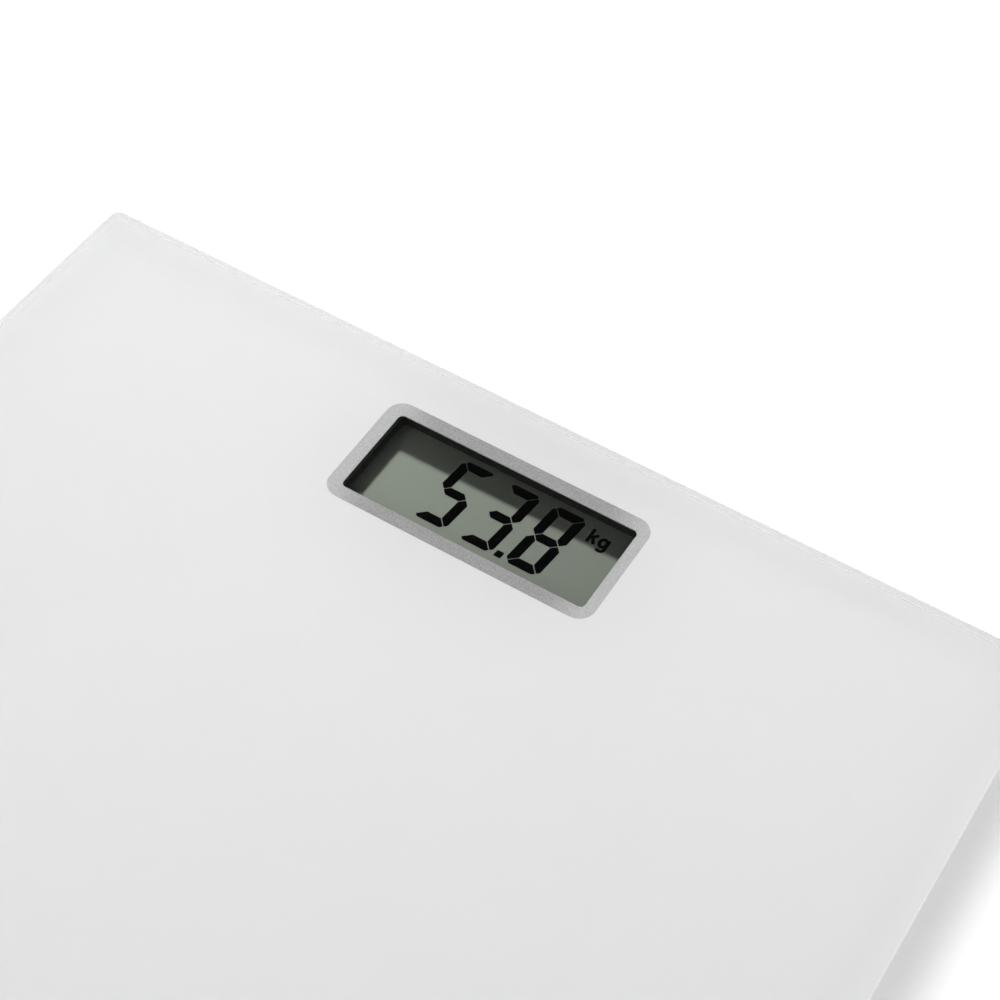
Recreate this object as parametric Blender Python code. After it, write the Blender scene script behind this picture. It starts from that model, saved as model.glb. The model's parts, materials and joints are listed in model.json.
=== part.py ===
"""Digital bathroom scale: a glass platform on a moulded tray with four load-cell feet.

The origin is on the floor under the middle of the platform. +X runs along the display, +Y towards the
edge that the display is near, and +Z is up. All lengths are in metres.
"""

import math

import bmesh
import bpy
from mathutils import Matrix, Vector

MM = 0.001

# Clearances
TOUCH_GAP = 0.3 * MM  # between pieces that rest on each other
LAYER_GAP = 0.1 * MM  # between bonded or printed layers

# Small moulded and turned details
SMALL_EDGE = 0.3 * MM  # chamfer on the coin cell and the unit button
COVER_EDGE = 0.4 * MM
PART_CORNER = 0.4 * MM  # plan corners of the display's glass and of the switch
SMALL_SIDES = 20  # sides of a screw-sized circle
MEDIUM_SIDES = 24
LARGE_SIDES = 48  # sides of a battery-sized circle

# Glass platform
PLATE_WIDTH = 300 * MM
PLATE_DEPTH = 300 * MM
PLATE_THICKNESS = 6 * MM
PLATE_CORNER_RADIUS = 3.3 * MM
PLATE_ARRIS = 0.5 * MM
PRINT_THICKNESS = 0.2 * MM
PRINT_INSET = 0.4 * MM

# Display window, printed on the back of the glass
BORDER_WIDTH = 83.2 * MM
BORDER_DEPTH = 38.4 * MM
BORDER_RADIUS = 5.1 * MM
BORDER_FAR_MARGIN = 14.2 * MM  # from the platform's far edge
BAND_LEFT = 4.2 * MM
BAND_RIGHT = 3.3 * MM
BAND_FAR = 4.4 * MM
BAND_NEAR = 4.1 * MM
WINDOW_RADIUS = 1.5 * MM

# Tray under the platform
FLOOR_TO_TRAY = 5 * MM
TRAY_HEIGHT = 13 * MM
TRAY_INSET = 8 * MM
TRAY_CORNER_RADIUS = 14 * MM
TRAY_WALL = 2 * MM
TRAY_FLOOR = 2 * MM
TRAY_EDGE_ROUND = 2.4 * MM
TRAY_DRAFT = 1 * MM  # how far the tray's sides lean in towards its floor
RIM_LEDGE_WIDTH = 8 * MM
RIM_LEDGE_THICKNESS = 2 * MM
RIB_THICKNESS = 1.4 * MM
RIB_HEIGHT = 7 * MM  # above the tray's floor
RIB_PITCH = 29 * MM
ROOT = 0.8 * MM  # how far a rib or a boss is sunk into what it grows from
TRIM = 0.2 * MM  # how far a cut runs into the wall that it clears
TAPE_THICKNESS = 0.8 * MM
TAPE_INSET = 0.8 * MM

# Feet and load cells
FOOT_FROM_EDGE = 38 * MM
FOOT_RADIUS = 17 * MM
PAD_THICKNESS = 2.1 * MM
PAD_BOSS_RADIUS = 6 * MM
PAD_BOSS_HEIGHT = 0.9 * MM
FLANGE_THICKNESS = 1.6 * MM
STEM_RADIUS = 6.5 * MM
STEM_CLEARANCE = 0.8 * MM
BARB_WIDTH = 1.4 * MM  # of the stem's snap-in collar, beyond its hole
BARB_THICKNESS = 1.1 * MM
BARB_GAP = 0.4 * MM
FOOT_TIP_RADIUS = 4 * MM
FOOT_TIP_CROWN = 0.6 * MM
FOOT_TIP_GAP = 0.5 * MM  # under the load cell's tongue, more than the foot's travel
CELL_SIDE = 34 * MM
CELL_THICKNESS = 2 * MM
CELL_RADIUS = 3 * MM
CELL_LIFT = 3.2 * MM  # underside of the cell above the tray's floor
TONGUE_WIDTH = 13 * MM
TONGUE_SLOT = 2.4 * MM
TONGUE_ROOT = 6 * MM
GAUGE_LENGTH = 11 * MM
GAUGE_WIDTH = 8 * MM
GAUGE_HEIGHT = 1.2 * MM
POCKET_GAP = 0.5 * MM
POCKET_WALL = 1.8 * MM
POCKET_OVERLAP = 1.2 * MM  # pocket wall above the load cell's top
LEDGE_WIDTH = 3 * MM  # ledge that holds the load cell up
CARRIER_OPENING = 23 * MM
CARRIER_NOTCH = 7 * MM
CARRIER_TAPE_INSET = 1 * MM

# Display module
WELL_DEPTH = 4.2 * MM  # from the printed border down to the display's face
WELL_LEFT_LIP = 0.6 * MM  # shroud that shows inside the border, on the left
WELL_UNDERCUT = 0.7 * MM  # how far the well runs under the border, on the other sides
WELL_RADIUS = 1.4 * MM
SEAL_MARGIN = 3.2 * MM  # display glass beyond the window
CONTACT_LEDGE = 3 * MM  # front glass beyond the rear glass
DISPLAY_GLASS = 1.1 * MM
POLARISER_THICKNESS = 0.2 * MM
REFLECTOR_THICKNESS = 0.3 * MM
POLARISER_INSET = 0.8 * MM
SHROUD_WALL = 1.5 * MM
SHROUD_RADIUS = 2 * MM
NEST_RADIUS = 0.8 * MM  # where the shroud takes the display's glass
SHROUD_GAP = 0.3 * MM
EAR_RADIUS = 3.6 * MM
EAR_THICKNESS = 2 * MM
EAR_REACH = 5.2 * MM  # from the shroud's side to a screw's axis
EAR_FROM_CORNER = 5.5 * MM
BOARD_TO_DISPLAY = 0.3 * MM
BOARD_THICKNESS = 1.2 * MM
BOARD_SIDE_MARGIN = 4 * MM  # board beyond the screws, along X
BOARD_NEAR_MARGIN = 6 * MM
BOARD_RADIUS = 1.5 * MM
ZEBRA_WIDTH = 1.9 * MM
ZEBRA_END_MARGIN = 3 * MM  # display glass beyond each end of the strip
CHIP_RADIUS = 6 * MM
CHIP_HEIGHT = 1.3 * MM
CHIP_OFFSET = Vector((-24 * MM, 4 * MM))  # from the window's centre

# Board screws
SCREW_RADIUS = 1.1 * MM
SCREW_HEAD_RADIUS = 2.2 * MM
SCREW_HEAD_HEIGHT = 1.4 * MM
SCREW_CLEARANCE = 0.25 * MM
SCREW_BITE = 2.4 * MM  # into the tray's boss
BOSS_RADIUS = 2.8 * MM
RECESS_WIDTH = 0.6 * MM
RECESS_LENGTH = 2.6 * MM
RECESS_DEPTH = 0.8 * MM
SCREW_TURN = math.radians(25)  # from one screw's recess to the next one's

# Unit button and its switch
BUTTON_OFFSET = Vector((30 * MM, -4 * MM))  # from the window's centre
BUTTON_RADIUS = 3 * MM
BUTTON_GAP = 0.25 * MM
BUTTON_RECESS = 0.2 * MM
BUTTON_DISH = 0.2 * MM  # hollow of its face, for a fingertip
BUTTON_FLANGE = 1.2 * MM
BUTTON_FLANGE_THICKNESS = 0.6 * MM
BUTTON_TRAVEL = 0.5 * MM
SWITCH_SIDE = 6 * MM
SWITCH_HEIGHT = 1.6 * MM
PLUNGER_RADIUS = 1.5 * MM
PLUNGER_LENGTH = 1.5 * MM
PLUNGER_REACH = 0.6 * MM  # how far it stands out of the switch
GUIDE_WALL = 1 * MM
GUIDE_HEIGHT = 1.8 * MM

# Battery
BATTERY_FROM_DISPLAY = 50 * MM  # from the window's centre, towards the near edge
COIN_RADIUS = 10 * MM
COIN_HEIGHT = 3.2 * MM
COIN_CAP_RADIUS = 7.4 * MM
COIN_CAP_HEIGHT = 0.3 * MM
COVER_GAP = 0.3 * MM
COVER_FLOOR = 1.9 * MM
COVER_WALL = 2.6 * MM
COIN_GAP = 0.6 * MM  # round the coin cell, inside its cover
COVER_TURN = math.radians(45)
LUG_COUNT = 3
FIRST_LUG = math.radians(30)
LUG_WIDTH = 5 * MM
LUG_REACH = 2 * MM
LUG_THICKNESS = 1.2 * MM
COIN_SLOT_LENGTH = 14 * MM
COIN_SLOT_WIDTH = 1.8 * MM
COIN_SLOT_DEPTH = 1 * MM
DOCK_GAP = 0.5 * MM  # between the lugs and the battery dock's wall
DOCK_WALL = 1.6 * MM
DOCK_ROOF = 1.2 * MM
CONTACT_THICKNESS = 0.3 * MM
CONTACT_WIDTH = 5 * MM
CONTACT_TAB = 2.2 * MM  # above the battery dock's roof

# Leads
LEAD_RADIUS = 0.8 * MM
BATTERY_LEAD_RADIUS = 0.5 * MM
LEAD_OVER_RIBS = 0.4 * MM
LEAD_STEP = 8 * MM
LEAD_SPREAD = 4 * MM  # board joint of a sensor lead, from the display's middle line

# Heights
TRAY_TOP = FLOOR_TO_TRAY + TRAY_HEIGHT
TRAY_FLOOR_TOP = FLOOR_TO_TRAY + TRAY_FLOOR
RIB_TOP = TRAY_FLOOR_TOP + RIB_HEIGHT
TAPE_LOW = TRAY_TOP + LAYER_GAP
TAPE_HIGH = TAPE_LOW + TAPE_THICKNESS
PRINT_LOW = TAPE_HIGH + LAYER_GAP
PRINT_HIGH = PRINT_LOW + PRINT_THICKNESS
PLATE_LOW = PRINT_HIGH + LAYER_GAP
CELL_LOW = TRAY_FLOOR_TOP + CELL_LIFT
CELL_HIGH = CELL_LOW + CELL_THICKNESS
DISPLAY_FACE = PLATE_LOW - WELL_DEPTH
FRONT_GLASS_HIGH = DISPLAY_FACE - POLARISER_THICKNESS - LAYER_GAP
FRONT_GLASS_LOW = FRONT_GLASS_HIGH - DISPLAY_GLASS
REAR_GLASS_HIGH = FRONT_GLASS_LOW - LAYER_GAP
REAR_GLASS_LOW = REAR_GLASS_HIGH - DISPLAY_GLASS
REFLECTOR_HIGH = REAR_GLASS_LOW - LAYER_GAP
REFLECTOR_LOW = REFLECTOR_HIGH - REFLECTOR_THICKNESS
BOARD_HIGH = REFLECTOR_LOW - BOARD_TO_DISPLAY
BOARD_LOW = BOARD_HIGH - BOARD_THICKNESS

# Places in plan
BORDER_CENTRE = Vector((0, PLATE_DEPTH / 2 - BORDER_FAR_MARGIN - BORDER_DEPTH / 2))
WINDOW_WIDTH = BORDER_WIDTH - BAND_LEFT - BAND_RIGHT
WINDOW_DEPTH = BORDER_DEPTH - BAND_FAR - BAND_NEAR
WINDOW_CENTRE = BORDER_CENTRE + Vector((BAND_LEFT - BAND_RIGHT, BAND_NEAR - BAND_FAR)) / 2
TRAY_WIDTH = PLATE_WIDTH - 2 * TRAY_INSET
TRAY_DEPTH = PLATE_DEPTH - 2 * TRAY_INSET
FOOT_X = PLATE_WIDTH / 2 - FOOT_FROM_EDGE
FOOT_Y = PLATE_DEPTH / 2 - FOOT_FROM_EDGE
GAUGE_Y = (CARRIER_OPENING - GAUGE_LENGTH) / 2 - POCKET_GAP  # from the load cell's centre
CORNERS = {"far_left": (-1, 1), "far_right": (1, 1), "near_left": (-1, -1), "near_right": (1, -1)}
REAR_GLASS_WIDTH = WINDOW_WIDTH + 2 * SEAL_MARGIN
REAR_GLASS_DEPTH = WINDOW_DEPTH + 2 * SEAL_MARGIN
FRONT_GLASS_DEPTH = REAR_GLASS_DEPTH + CONTACT_LEDGE
FRONT_GLASS_CENTRE = WINDOW_CENTRE - Vector((0, CONTACT_LEDGE / 2))
SHROUD_WIDTH = REAR_GLASS_WIDTH + 2 * (SHROUD_GAP + SHROUD_WALL)
SHROUD_DEPTH = FRONT_GLASS_DEPTH + 2 * (SHROUD_GAP + SHROUD_WALL)
SCREW_X = SHROUD_WIDTH / 2 + EAR_REACH
SCREW_Y = SHROUD_DEPTH / 2 - EAR_FROM_CORNER
BOARD_WIDTH = 2 * (SCREW_X + BOARD_SIDE_MARGIN)
BOARD_DEPTH = SHROUD_DEPTH + BOARD_NEAR_MARGIN
BOARD_CENTRE = FRONT_GLASS_CENTRE - Vector((0, BOARD_NEAR_MARGIN / 2))
SCREW_PLACES = [FRONT_GLASS_CENTRE + Vector((i * SCREW_X, j * SCREW_Y)) for i in (-1, 1) for j in (-1, 1)]
BUTTON_CENTRE = WINDOW_CENTRE + BUTTON_OFFSET
BATTERY_CENTRE = WINDOW_CENTRE - Vector((0, BATTERY_FROM_DISPLAY))

# Battery cover and dock, from the tray's underside up
COVER_RADIUS = COIN_RADIUS + COIN_GAP + COVER_WALL
COVER_HOLE_RADIUS = COVER_RADIUS + COVER_GAP
LUG_LOW = TRAY_FLOOR_TOP + COVER_GAP
LUG_HIGH = LUG_LOW + LUG_THICKNESS
COIN_LOW = FLOOR_TO_TRAY + COVER_FLOOR + TOUCH_GAP
COIN_HIGH = COIN_LOW + COIN_HEIGHT
DOCK_INNER_RADIUS = COVER_RADIUS + LUG_REACH + DOCK_GAP
DOCK_OUTER_RADIUS = DOCK_INNER_RADIUS + DOCK_WALL
LEAF_LOW = COIN_HIGH + TOUCH_GAP
DOCK_ROOF_LOW = LEAF_LOW + CONTACT_THICKNESS + TOUCH_GAP
DOCK_ROOF_HIGH = DOCK_ROOF_LOW + DOCK_ROOF

# Switch, plunger and button, from the board down
SWITCH_HIGH = BOARD_LOW - LAYER_GAP
SWITCH_LOW = SWITCH_HIGH - SWITCH_HEIGHT
PLUNGER_LOW = SWITCH_LOW - PLUNGER_REACH
BUTTON_TOP = PLUNGER_LOW - TOUCH_GAP


def remove_everything():
    for thing in list(bpy.data.objects):
        bpy.data.objects.remove(thing, do_unlink=True)


def material(name, colour, roughness, metallic=0.0, transmission=0.0):
    made = bpy.data.materials.new(name)
    made.use_nodes = True
    shader = made.node_tree.nodes["Principled BSDF"]
    shader.inputs["Base Color"].default_value = (*colour, 1)
    shader.inputs["Roughness"].default_value = roughness
    shader.inputs["Metallic"].default_value = metallic
    shader.inputs["Transmission Weight"].default_value = transmission
    made.diffuse_color = (*colour, 1)
    return made


def object_from(name, form, surface, place=(0, 0, 0)):
    """An object made of a finished bmesh, at its place."""
    bmesh.ops.recalc_face_normals(form, faces=form.faces)
    mesh = bpy.data.meshes.new(name)
    form.to_mesh(mesh)
    form.free()
    mesh.shade_smooth()
    mesh.set_sharp_from_angle(angle=math.radians(30))
    mesh.materials.append(surface)
    made = bpy.data.objects.new(name, mesh)
    made.location = place
    bpy.context.scene.collection.objects.link(made)
    return made


def copy_of(original, name, place, turn=0.0):
    """Another object with the same mesh, turned about its own Z axis."""
    made = bpy.data.objects.new(name, original.data)
    made.location = place
    made.rotation_euler.z = turn
    bpy.context.scene.collection.objects.link(made)
    return made


def at(plan, height=0.0):
    """A place from a point in plan and a height."""
    return (plan[0], plan[1], height)


def rounded(width, depth, radius, centre=(0, 0), steps=6):
    """The outline of a rectangle with round corners, anticlockwise."""
    points = []
    for corner in range(4):
        start = corner * math.pi / 2
        side_x = 1 if corner in (0, 3) else -1
        side_y = 1 if corner in (0, 1) else -1
        for step in range(steps + 1):
            angle = start + math.pi / 2 * step / steps
            x = side_x * (width / 2 - radius) + radius * math.cos(angle)
            y = side_y * (depth / 2 - radius) + radius * math.sin(angle)
            points.append((centre[0] + x, centre[1] + y))
    return points


def circle(radius, steps=32):
    angles = [2 * math.pi * step / steps for step in range(steps)]
    return [(radius * math.cos(a), radius * math.sin(a)) for a in angles]


def loft(name, sections, surface, place=(0, 0, 0)):
    """A solid through outlines of equal length, each with its height, from the lowest up."""
    form = bmesh.new()
    loops = [[form.verts.new(at(point, height)) for point in outline] for outline, height in sections]
    form.faces.new(loops[0])
    form.faces.new(loops[-1])
    for low, high in zip(loops, loops[1:]):
        for i in range(len(low)):
            j = (i + 1) % len(low)
            form.faces.new((low[i], low[j], high[j], high[i]))
    return object_from(name, form, surface, place)


def prism(name, outline, low, high, surface, place=(0, 0, 0)):
    return loft(name, [(outline, low), (outline, high)], surface, place)


def ring(name, outer, inner, low, high, surface, place=(0, 0, 0)):
    """A flat band between two outlines of equal length."""
    form = bmesh.new()
    edges = ((outer, low), (outer, high), (inner, high), (inner, low))
    loops = [[form.verts.new(at(point, height)) for point in outline] for outline, height in edges]
    for first, second in zip(loops, loops[1:] + loops[:1]):
        for i in range(len(first)):
            j = (i + 1) % len(first)
            form.faces.new((first[i], first[j], second[j], second[i]))
    return object_from(name, form, surface, place)


def turned(name, profile, surface, place=(0, 0, 0), steps=32):
    """A solid of revolution about Z, from (radius, height) points that start and end on the axis."""
    form = bmesh.new()
    angles = [2 * math.pi * step / steps for step in range(steps)]
    rings = []
    for radius, height in profile:
        around = angles if radius > 0 else [0.0]
        rings.append([form.verts.new((radius * math.cos(a), radius * math.sin(a), height)) for a in around])
    for first, second in zip(rings, rings[1:]):
        for i in range(steps):
            j = (i + 1) % steps
            corners = [first[i % len(first)], first[j % len(first)]]
            corners += [second[j % len(second)], second[i % len(second)]]
            form.faces.new(list(dict.fromkeys(corners)))
    return object_from(name, form, surface, place)


def box(name, size, centre, surface):
    form = bmesh.new()
    bmesh.ops.create_cube(form, size=1.0)
    bmesh.ops.transform(form, matrix=Matrix.Diagonal((*size, 1)), verts=form.verts)
    return object_from(name, form, surface, centre)


def reshape(target, operation, tools):
    """Cut the target with the tools, or join them to it, and remove the tools."""
    for tool in tools:
        change = target.modifiers.new(tool.name, "BOOLEAN")
        change.operation = operation
        change.solver = "EXACT"
        change.object = tool
    bpy.context.view_layer.update()
    shown = target.evaluated_get(bpy.context.evaluated_depsgraph_get())
    mesh = bpy.data.meshes.new_from_object(shown)
    target.modifiers.clear()
    target.data = mesh
    mesh.set_sharp_from_angle(angle=math.radians(30))
    for tool in tools:
        bpy.data.objects.remove(tool, do_unlink=True)
    return target


def tube(name, route, radius, surface, step=LEAD_STEP):
    """A lead along a smooth curve through its route's points."""
    points = smooth_points([Vector(point) for point in route], step)
    curve = bpy.data.curves.new(name, "CURVE")
    curve.dimensions = "3D"
    curve.bevel_depth = radius
    curve.bevel_resolution = 2
    curve.use_fill_caps = True
    spline = curve.splines.new("POLY")
    spline.points.add(len(points) - 1)
    for slot, point in zip(spline.points, points):
        slot.co = (*point, 1)
    curve.materials.append(surface)
    made = bpy.data.objects.new(name, curve)
    bpy.context.scene.collection.objects.link(made)
    return made


def smooth_points(route, step):
    """Points of a Catmull-Rom curve through the route, about one step apart."""
    ends = [2 * route[0] - route[1]] + route + [2 * route[-1] - route[-2]]
    points = [route[0]]
    for before, start, end, after in zip(ends, ends[1:], ends[2:], ends[3:]):
        count = max(1, round((end - start).length / step))
        for i in range(1, count + 1):
            t = i / count
            square = (2 * before - 5 * start + 4 * end - after) * t**2
            cube = (3 * start - before - 3 * end + after) * t**3
            points.append(start + ((end - before) * t + square + cube) / 2)
    return points


def glass_plate(glass):
    def outline(inset):
        width, depth = PLATE_WIDTH - 2 * inset, PLATE_DEPTH - 2 * inset
        return rounded(width, depth, PLATE_CORNER_RADIUS - inset)

    sections = (
        (outline(PLATE_ARRIS), 0),
        (outline(0), PLATE_ARRIS),
        (outline(0), PLATE_THICKNESS - PLATE_ARRIS),
        (outline(PLATE_ARRIS), PLATE_THICKNESS),
    )
    return loft("glass_plate", sections, glass, (0, 0, PLATE_LOW))


def printed_layers(enamel, silver):
    """The white print on the back of the glass, and the display's border inside its opening."""
    inset = PLATE_ARRIS + PRINT_INSET
    outer = rounded(PLATE_WIDTH - 2 * inset, PLATE_DEPTH - 2 * inset, PLATE_CORNER_RADIUS - PLATE_ARRIS)
    hole_size = (BORDER_WIDTH + 2 * LAYER_GAP, BORDER_DEPTH + 2 * LAYER_GAP)
    hole = rounded(*hole_size, BORDER_RADIUS + LAYER_GAP, BORDER_CENTRE)
    ring("white_back_print", outer, hole, 0, PRINT_THICKNESS, enamel, (0, 0, PRINT_LOW))
    border = rounded(BORDER_WIDTH, BORDER_DEPTH, BORDER_RADIUS)
    window = rounded(WINDOW_WIDTH, WINDOW_DEPTH, WINDOW_RADIUS, WINDOW_CENTRE - BORDER_CENTRE)
    ring("window_border", border, window, 0, PRINT_THICKNESS, silver, at(BORDER_CENTRE, PRINT_LOW))


def tray_outline(inset):
    radius = max(TRAY_CORNER_RADIUS - inset, 1 * MM)
    return rounded(TRAY_WIDTH - 2 * inset, TRAY_DEPTH - 2 * inset, radius)


def display_bay(name, low, high, far, surface):
    """A block round the board, up to a far side, that the tray's ribs, ledge and tape stay out of."""
    near = BOARD_CENTRE.y - BOARD_DEPTH / 2 - TOUCH_GAP
    size = (BOARD_WIDTH + 2 * TOUCH_GAP, far - near, high - low)
    return box(name, size, (BOARD_CENTRE.x, (far + near) / 2, (low + high) / 2), surface)


def rim_tape(foam):
    outer = tray_outline(TAPE_INSET)
    inner = tray_outline(RIM_LEDGE_WIDTH - TAPE_INSET)
    tape = ring("rim_tape", outer, inner, 0, TAPE_THICKNESS, foam, (0, 0, TAPE_LOW))
    bay = display_bay("tape_bay", TAPE_LOW - ROOT, TAPE_HIGH + ROOT, PLATE_DEPTH / 2, foam)
    return reshape(tape, "DIFFERENCE", [bay])


def rib_bars(plastic):
    """Bars of a grid on the tray's floor, as wide apart as the pitch at most."""
    low, high = TRAY_FLOOR_TOP - ROOT, RIB_TOP
    height, middle = high - low, (low + high) / 2
    inner_width = TRAY_WIDTH - 2 * (TRAY_WALL + TRAY_DRAFT)
    inner_depth = TRAY_DEPTH - 2 * (TRAY_WALL + TRAY_DRAFT)
    bars = []
    for i in range(1, rib_bays(inner_width)):
        x = inner_width * (i / rib_bays(inner_width) - 0.5)
        size = (RIB_THICKNESS, inner_depth + 2 * ROOT, height)
        bars.append(box(f"rib_x{i}", size, (x, 0, middle), plastic))
    for i in range(1, rib_bays(inner_depth)):
        y = inner_depth * (i / rib_bays(inner_depth) - 0.5)
        size = (inner_width + 2 * ROOT, RIB_THICKNESS, height)
        bars.append(box(f"rib_y{i}", size, (0, y, middle), plastic))
    return bars


def tray_ribs(plastic):
    """The ribs, cut short at the display's bay, the battery's dock and the load cells' pockets."""
    first, *others = rib_bars(plastic)
    ribs = reshape(first, "UNION", others)
    low, high = FLOOR_TO_TRAY, TRAY_TOP
    clear = [display_bay("rib_bay", low, high, PLATE_DEPTH / 2, plastic)]
    dock = circle(DOCK_OUTER_RADIUS - ROOT)
    clear.append(prism("rib_dock", dock, low, high, plastic, at(BATTERY_CENTRE)))
    side = pocket_side(POCKET_WALL) - 2 * ROOT
    for name, place in corner_places():
        clear.append(prism(f"rib_{name}", rounded(side, side, CELL_RADIUS), low, high, plastic, at(place)))
    return reshape(ribs, "DIFFERENCE", clear)


def rib_bays(length):
    return math.ceil(length / RIB_PITCH)


def pocket_side(gap):
    return CELL_SIDE + 2 * (POCKET_GAP + gap)


def corner_places():
    """Each corner's name and the centre of its foot."""
    return [(name, Vector((i * FOOT_X, j * FOOT_Y))) for name, (i, j) in CORNERS.items()]


def tray_shell(plastic):
    """The open tray with its rounded lower edge, leaning sides and inner rim ledge."""
    sections = []
    for step in range(5):
        angle = math.pi / 2 * step / 4
        inset = TRAY_EDGE_ROUND * (1 - math.sin(angle)) + TRAY_DRAFT
        sections.append((tray_outline(inset), FLOOR_TO_TRAY + TRAY_EDGE_ROUND * (1 - math.cos(angle))))
    sections.append((tray_outline(0), TRAY_TOP))
    shell = loft("base_tray", sections, plastic)
    wall = TRAY_WALL + TRAY_DRAFT
    ledge_low = TRAY_TOP - RIM_LEDGE_THICKNESS
    cavity = prism("cavity", tray_outline(wall), TRAY_FLOOR_TOP, ledge_low, plastic)
    mouth = prism("mouth", tray_outline(RIM_LEDGE_WIDTH), ledge_low - ROOT, TRAY_TOP + ROOT, plastic)
    bay = display_bay("ledge_bay", ledge_low - ROOT, TRAY_TOP + ROOT, TRAY_DEPTH / 2 - wall + TRIM, plastic)
    return reshape(shell, "DIFFERENCE", [cavity, mouth, bay])


def base_tray(plastic):
    tray = reshape(tray_shell(plastic), "UNION", [tray_ribs(plastic)])
    reshape(tray, "UNION", tray_features(plastic))
    return reshape(tray, "DIFFERENCE", tray_holes(plastic))


def tray_features(plastic):
    """Pockets, ledges, bosses, the button's guide and the battery dock, all grown from the floor."""
    low = TRAY_FLOOR_TOP - ROOT
    grown = []
    for name, place in corner_places():
        outer = rounded(pocket_side(POCKET_WALL), pocket_side(POCKET_WALL), CELL_RADIUS + POCKET_WALL)
        inner = rounded(pocket_side(0), pocket_side(0), CELL_RADIUS)
        top = CELL_HIGH + POCKET_OVERLAP
        grown.append(ring(f"{name}_pocket", outer, inner, low, top, plastic, at(place)))
        ledge_top = CELL_LOW - TOUCH_GAP
        for side in (-1, 1):
            size = (LEDGE_WIDTH + 2 * POCKET_GAP + ROOT, pocket_side(ROOT), ledge_top - low)
            centre = place + Vector((side * (pocket_side(ROOT) - size[0]) / 2, 0))
            grown.append(box(f"{name}_ledge_{side}", size, at(centre, (low + ledge_top) / 2), plastic))
    boss = circle(BOSS_RADIUS, SMALL_SIDES)
    for i, place in enumerate(SCREW_PLACES):
        grown.append(prism(f"boss_{i}", boss, low, BOARD_LOW - TOUCH_GAP, plastic, at(place)))
    guide_inner = BUTTON_RADIUS + BUTTON_FLANGE + BUTTON_GAP
    guide_outer = guide_inner + GUIDE_WALL
    top = TRAY_FLOOR_TOP + GUIDE_HEIGHT
    place = at(BUTTON_CENTRE)
    grown.append(ring("guide", circle(guide_outer), circle(guide_inner), low, top, plastic, place))
    dock = circle(DOCK_OUTER_RADIUS, LARGE_SIDES)
    grown.append(prism("dock", dock, low, DOCK_ROOF_HIGH, plastic, at(BATTERY_CENTRE)))
    return grown


def contact_slot(name, x, y, plastic):
    """A slot in the dock's roof that a contact's tab comes up through."""
    size = (CONTACT_WIDTH + 2 * TOUCH_GAP, CONTACT_THICKNESS + 2 * TOUCH_GAP, DOCK_ROOF + 4 * ROOT)
    return box(name, size, at(BATTERY_CENTRE + Vector((x, y)), DOCK_ROOF_HIGH - DOCK_ROOF / 2), plastic)


def tray_holes(plastic):
    below = FLOOR_TO_TRAY - ROOT
    holes = []
    stem_hole = circle(STEM_RADIUS + STEM_CLEARANCE, LARGE_SIDES)
    for name, place in corner_places():
        holes.append(prism(f"{name}_hole", stem_hole, below, CELL_LOW, plastic, at(place)))
    low = BOARD_LOW - TOUCH_GAP - SCREW_BITE - TOUCH_GAP
    screw_hole = circle(SCREW_RADIUS + TOUCH_GAP / 2, SMALL_SIDES)
    for i, place in enumerate(SCREW_PLACES):
        holes.append(prism(f"boss_hole_{i}", screw_hole, low, BOARD_LOW, plastic, at(place)))
    button_hole = circle(BUTTON_RADIUS + BUTTON_GAP)
    place = at(BUTTON_CENTRE)
    holes.append(prism("button_hole", button_hole, below, TRAY_FLOOR_TOP + ROOT, plastic, place))
    place = at(BATTERY_CENTRE)
    inside = circle(DOCK_INNER_RADIUS, LARGE_SIDES)
    holes.append(prism("dock_inside", inside, TRAY_FLOOR_TOP, DOCK_ROOF_LOW, plastic, place))
    cover_hole = circle(COVER_HOLE_RADIUS, LARGE_SIDES)
    holes.append(prism("cover_hole", cover_hole, below, TRAY_FLOOR_TOP + LUG_THICKNESS, plastic, place))
    reach = COVER_RADIUS + LUG_REACH + COVER_GAP
    for i in range(LUG_COUNT):
        angle = lug_angle(i) + COVER_TURN
        size = (reach, LUG_WIDTH + 2 * COVER_GAP, TRAY_FLOOR + 2 * ROOT)
        centre = BATTERY_CENTRE + Vector((math.cos(angle), math.sin(angle))) * reach / 2
        notch = box(f"lug_notch_{i}", size, at(centre, TRAY_FLOOR_TOP - TRAY_FLOOR / 2), plastic)
        notch.rotation_euler.z = angle
        holes.append(notch)
    holes.append(contact_slot("leaf_slot", 0, leaf_tab_y(), plastic))
    holes.append(contact_slot("side_slot", 0, side_tab_y(), plastic))
    return holes


def lug_angle(index):
    return FIRST_LUG + 2 * math.pi * index / LUG_COUNT


def leaf_tab_y():
    return -DOCK_INNER_RADIUS / 2


def side_tab_y():
    return COIN_RADIUS + TOUCH_GAP + CONTACT_THICKNESS / 2


def load_cell(steel):
    """A steel plate whose tongue, cut free on three sides, bends as the foot pushes it up."""
    side = rounded(CELL_SIDE, CELL_SIDE, CELL_RADIUS, steps=4)
    plate = prism("load_cell_far_left", side, 0, CELL_THICKNESS, steel)
    half, slot = TONGUE_WIDTH / 2, TONGUE_SLOT
    end = CELL_SIDE / 2 - TONGUE_ROOT
    tip = -end
    outline = [
        (-half - slot, tip), (half + slot, tip), (half + slot, end), (half, end),
        (half, tip + slot), (-half, tip + slot), (-half, end), (-half - slot, end),
    ]
    cutter = prism("tongue_slot", outline, -ROOT, CELL_THICKNESS + ROOT, steel)
    return reshape(plate, "DIFFERENCE", [cutter])


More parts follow.
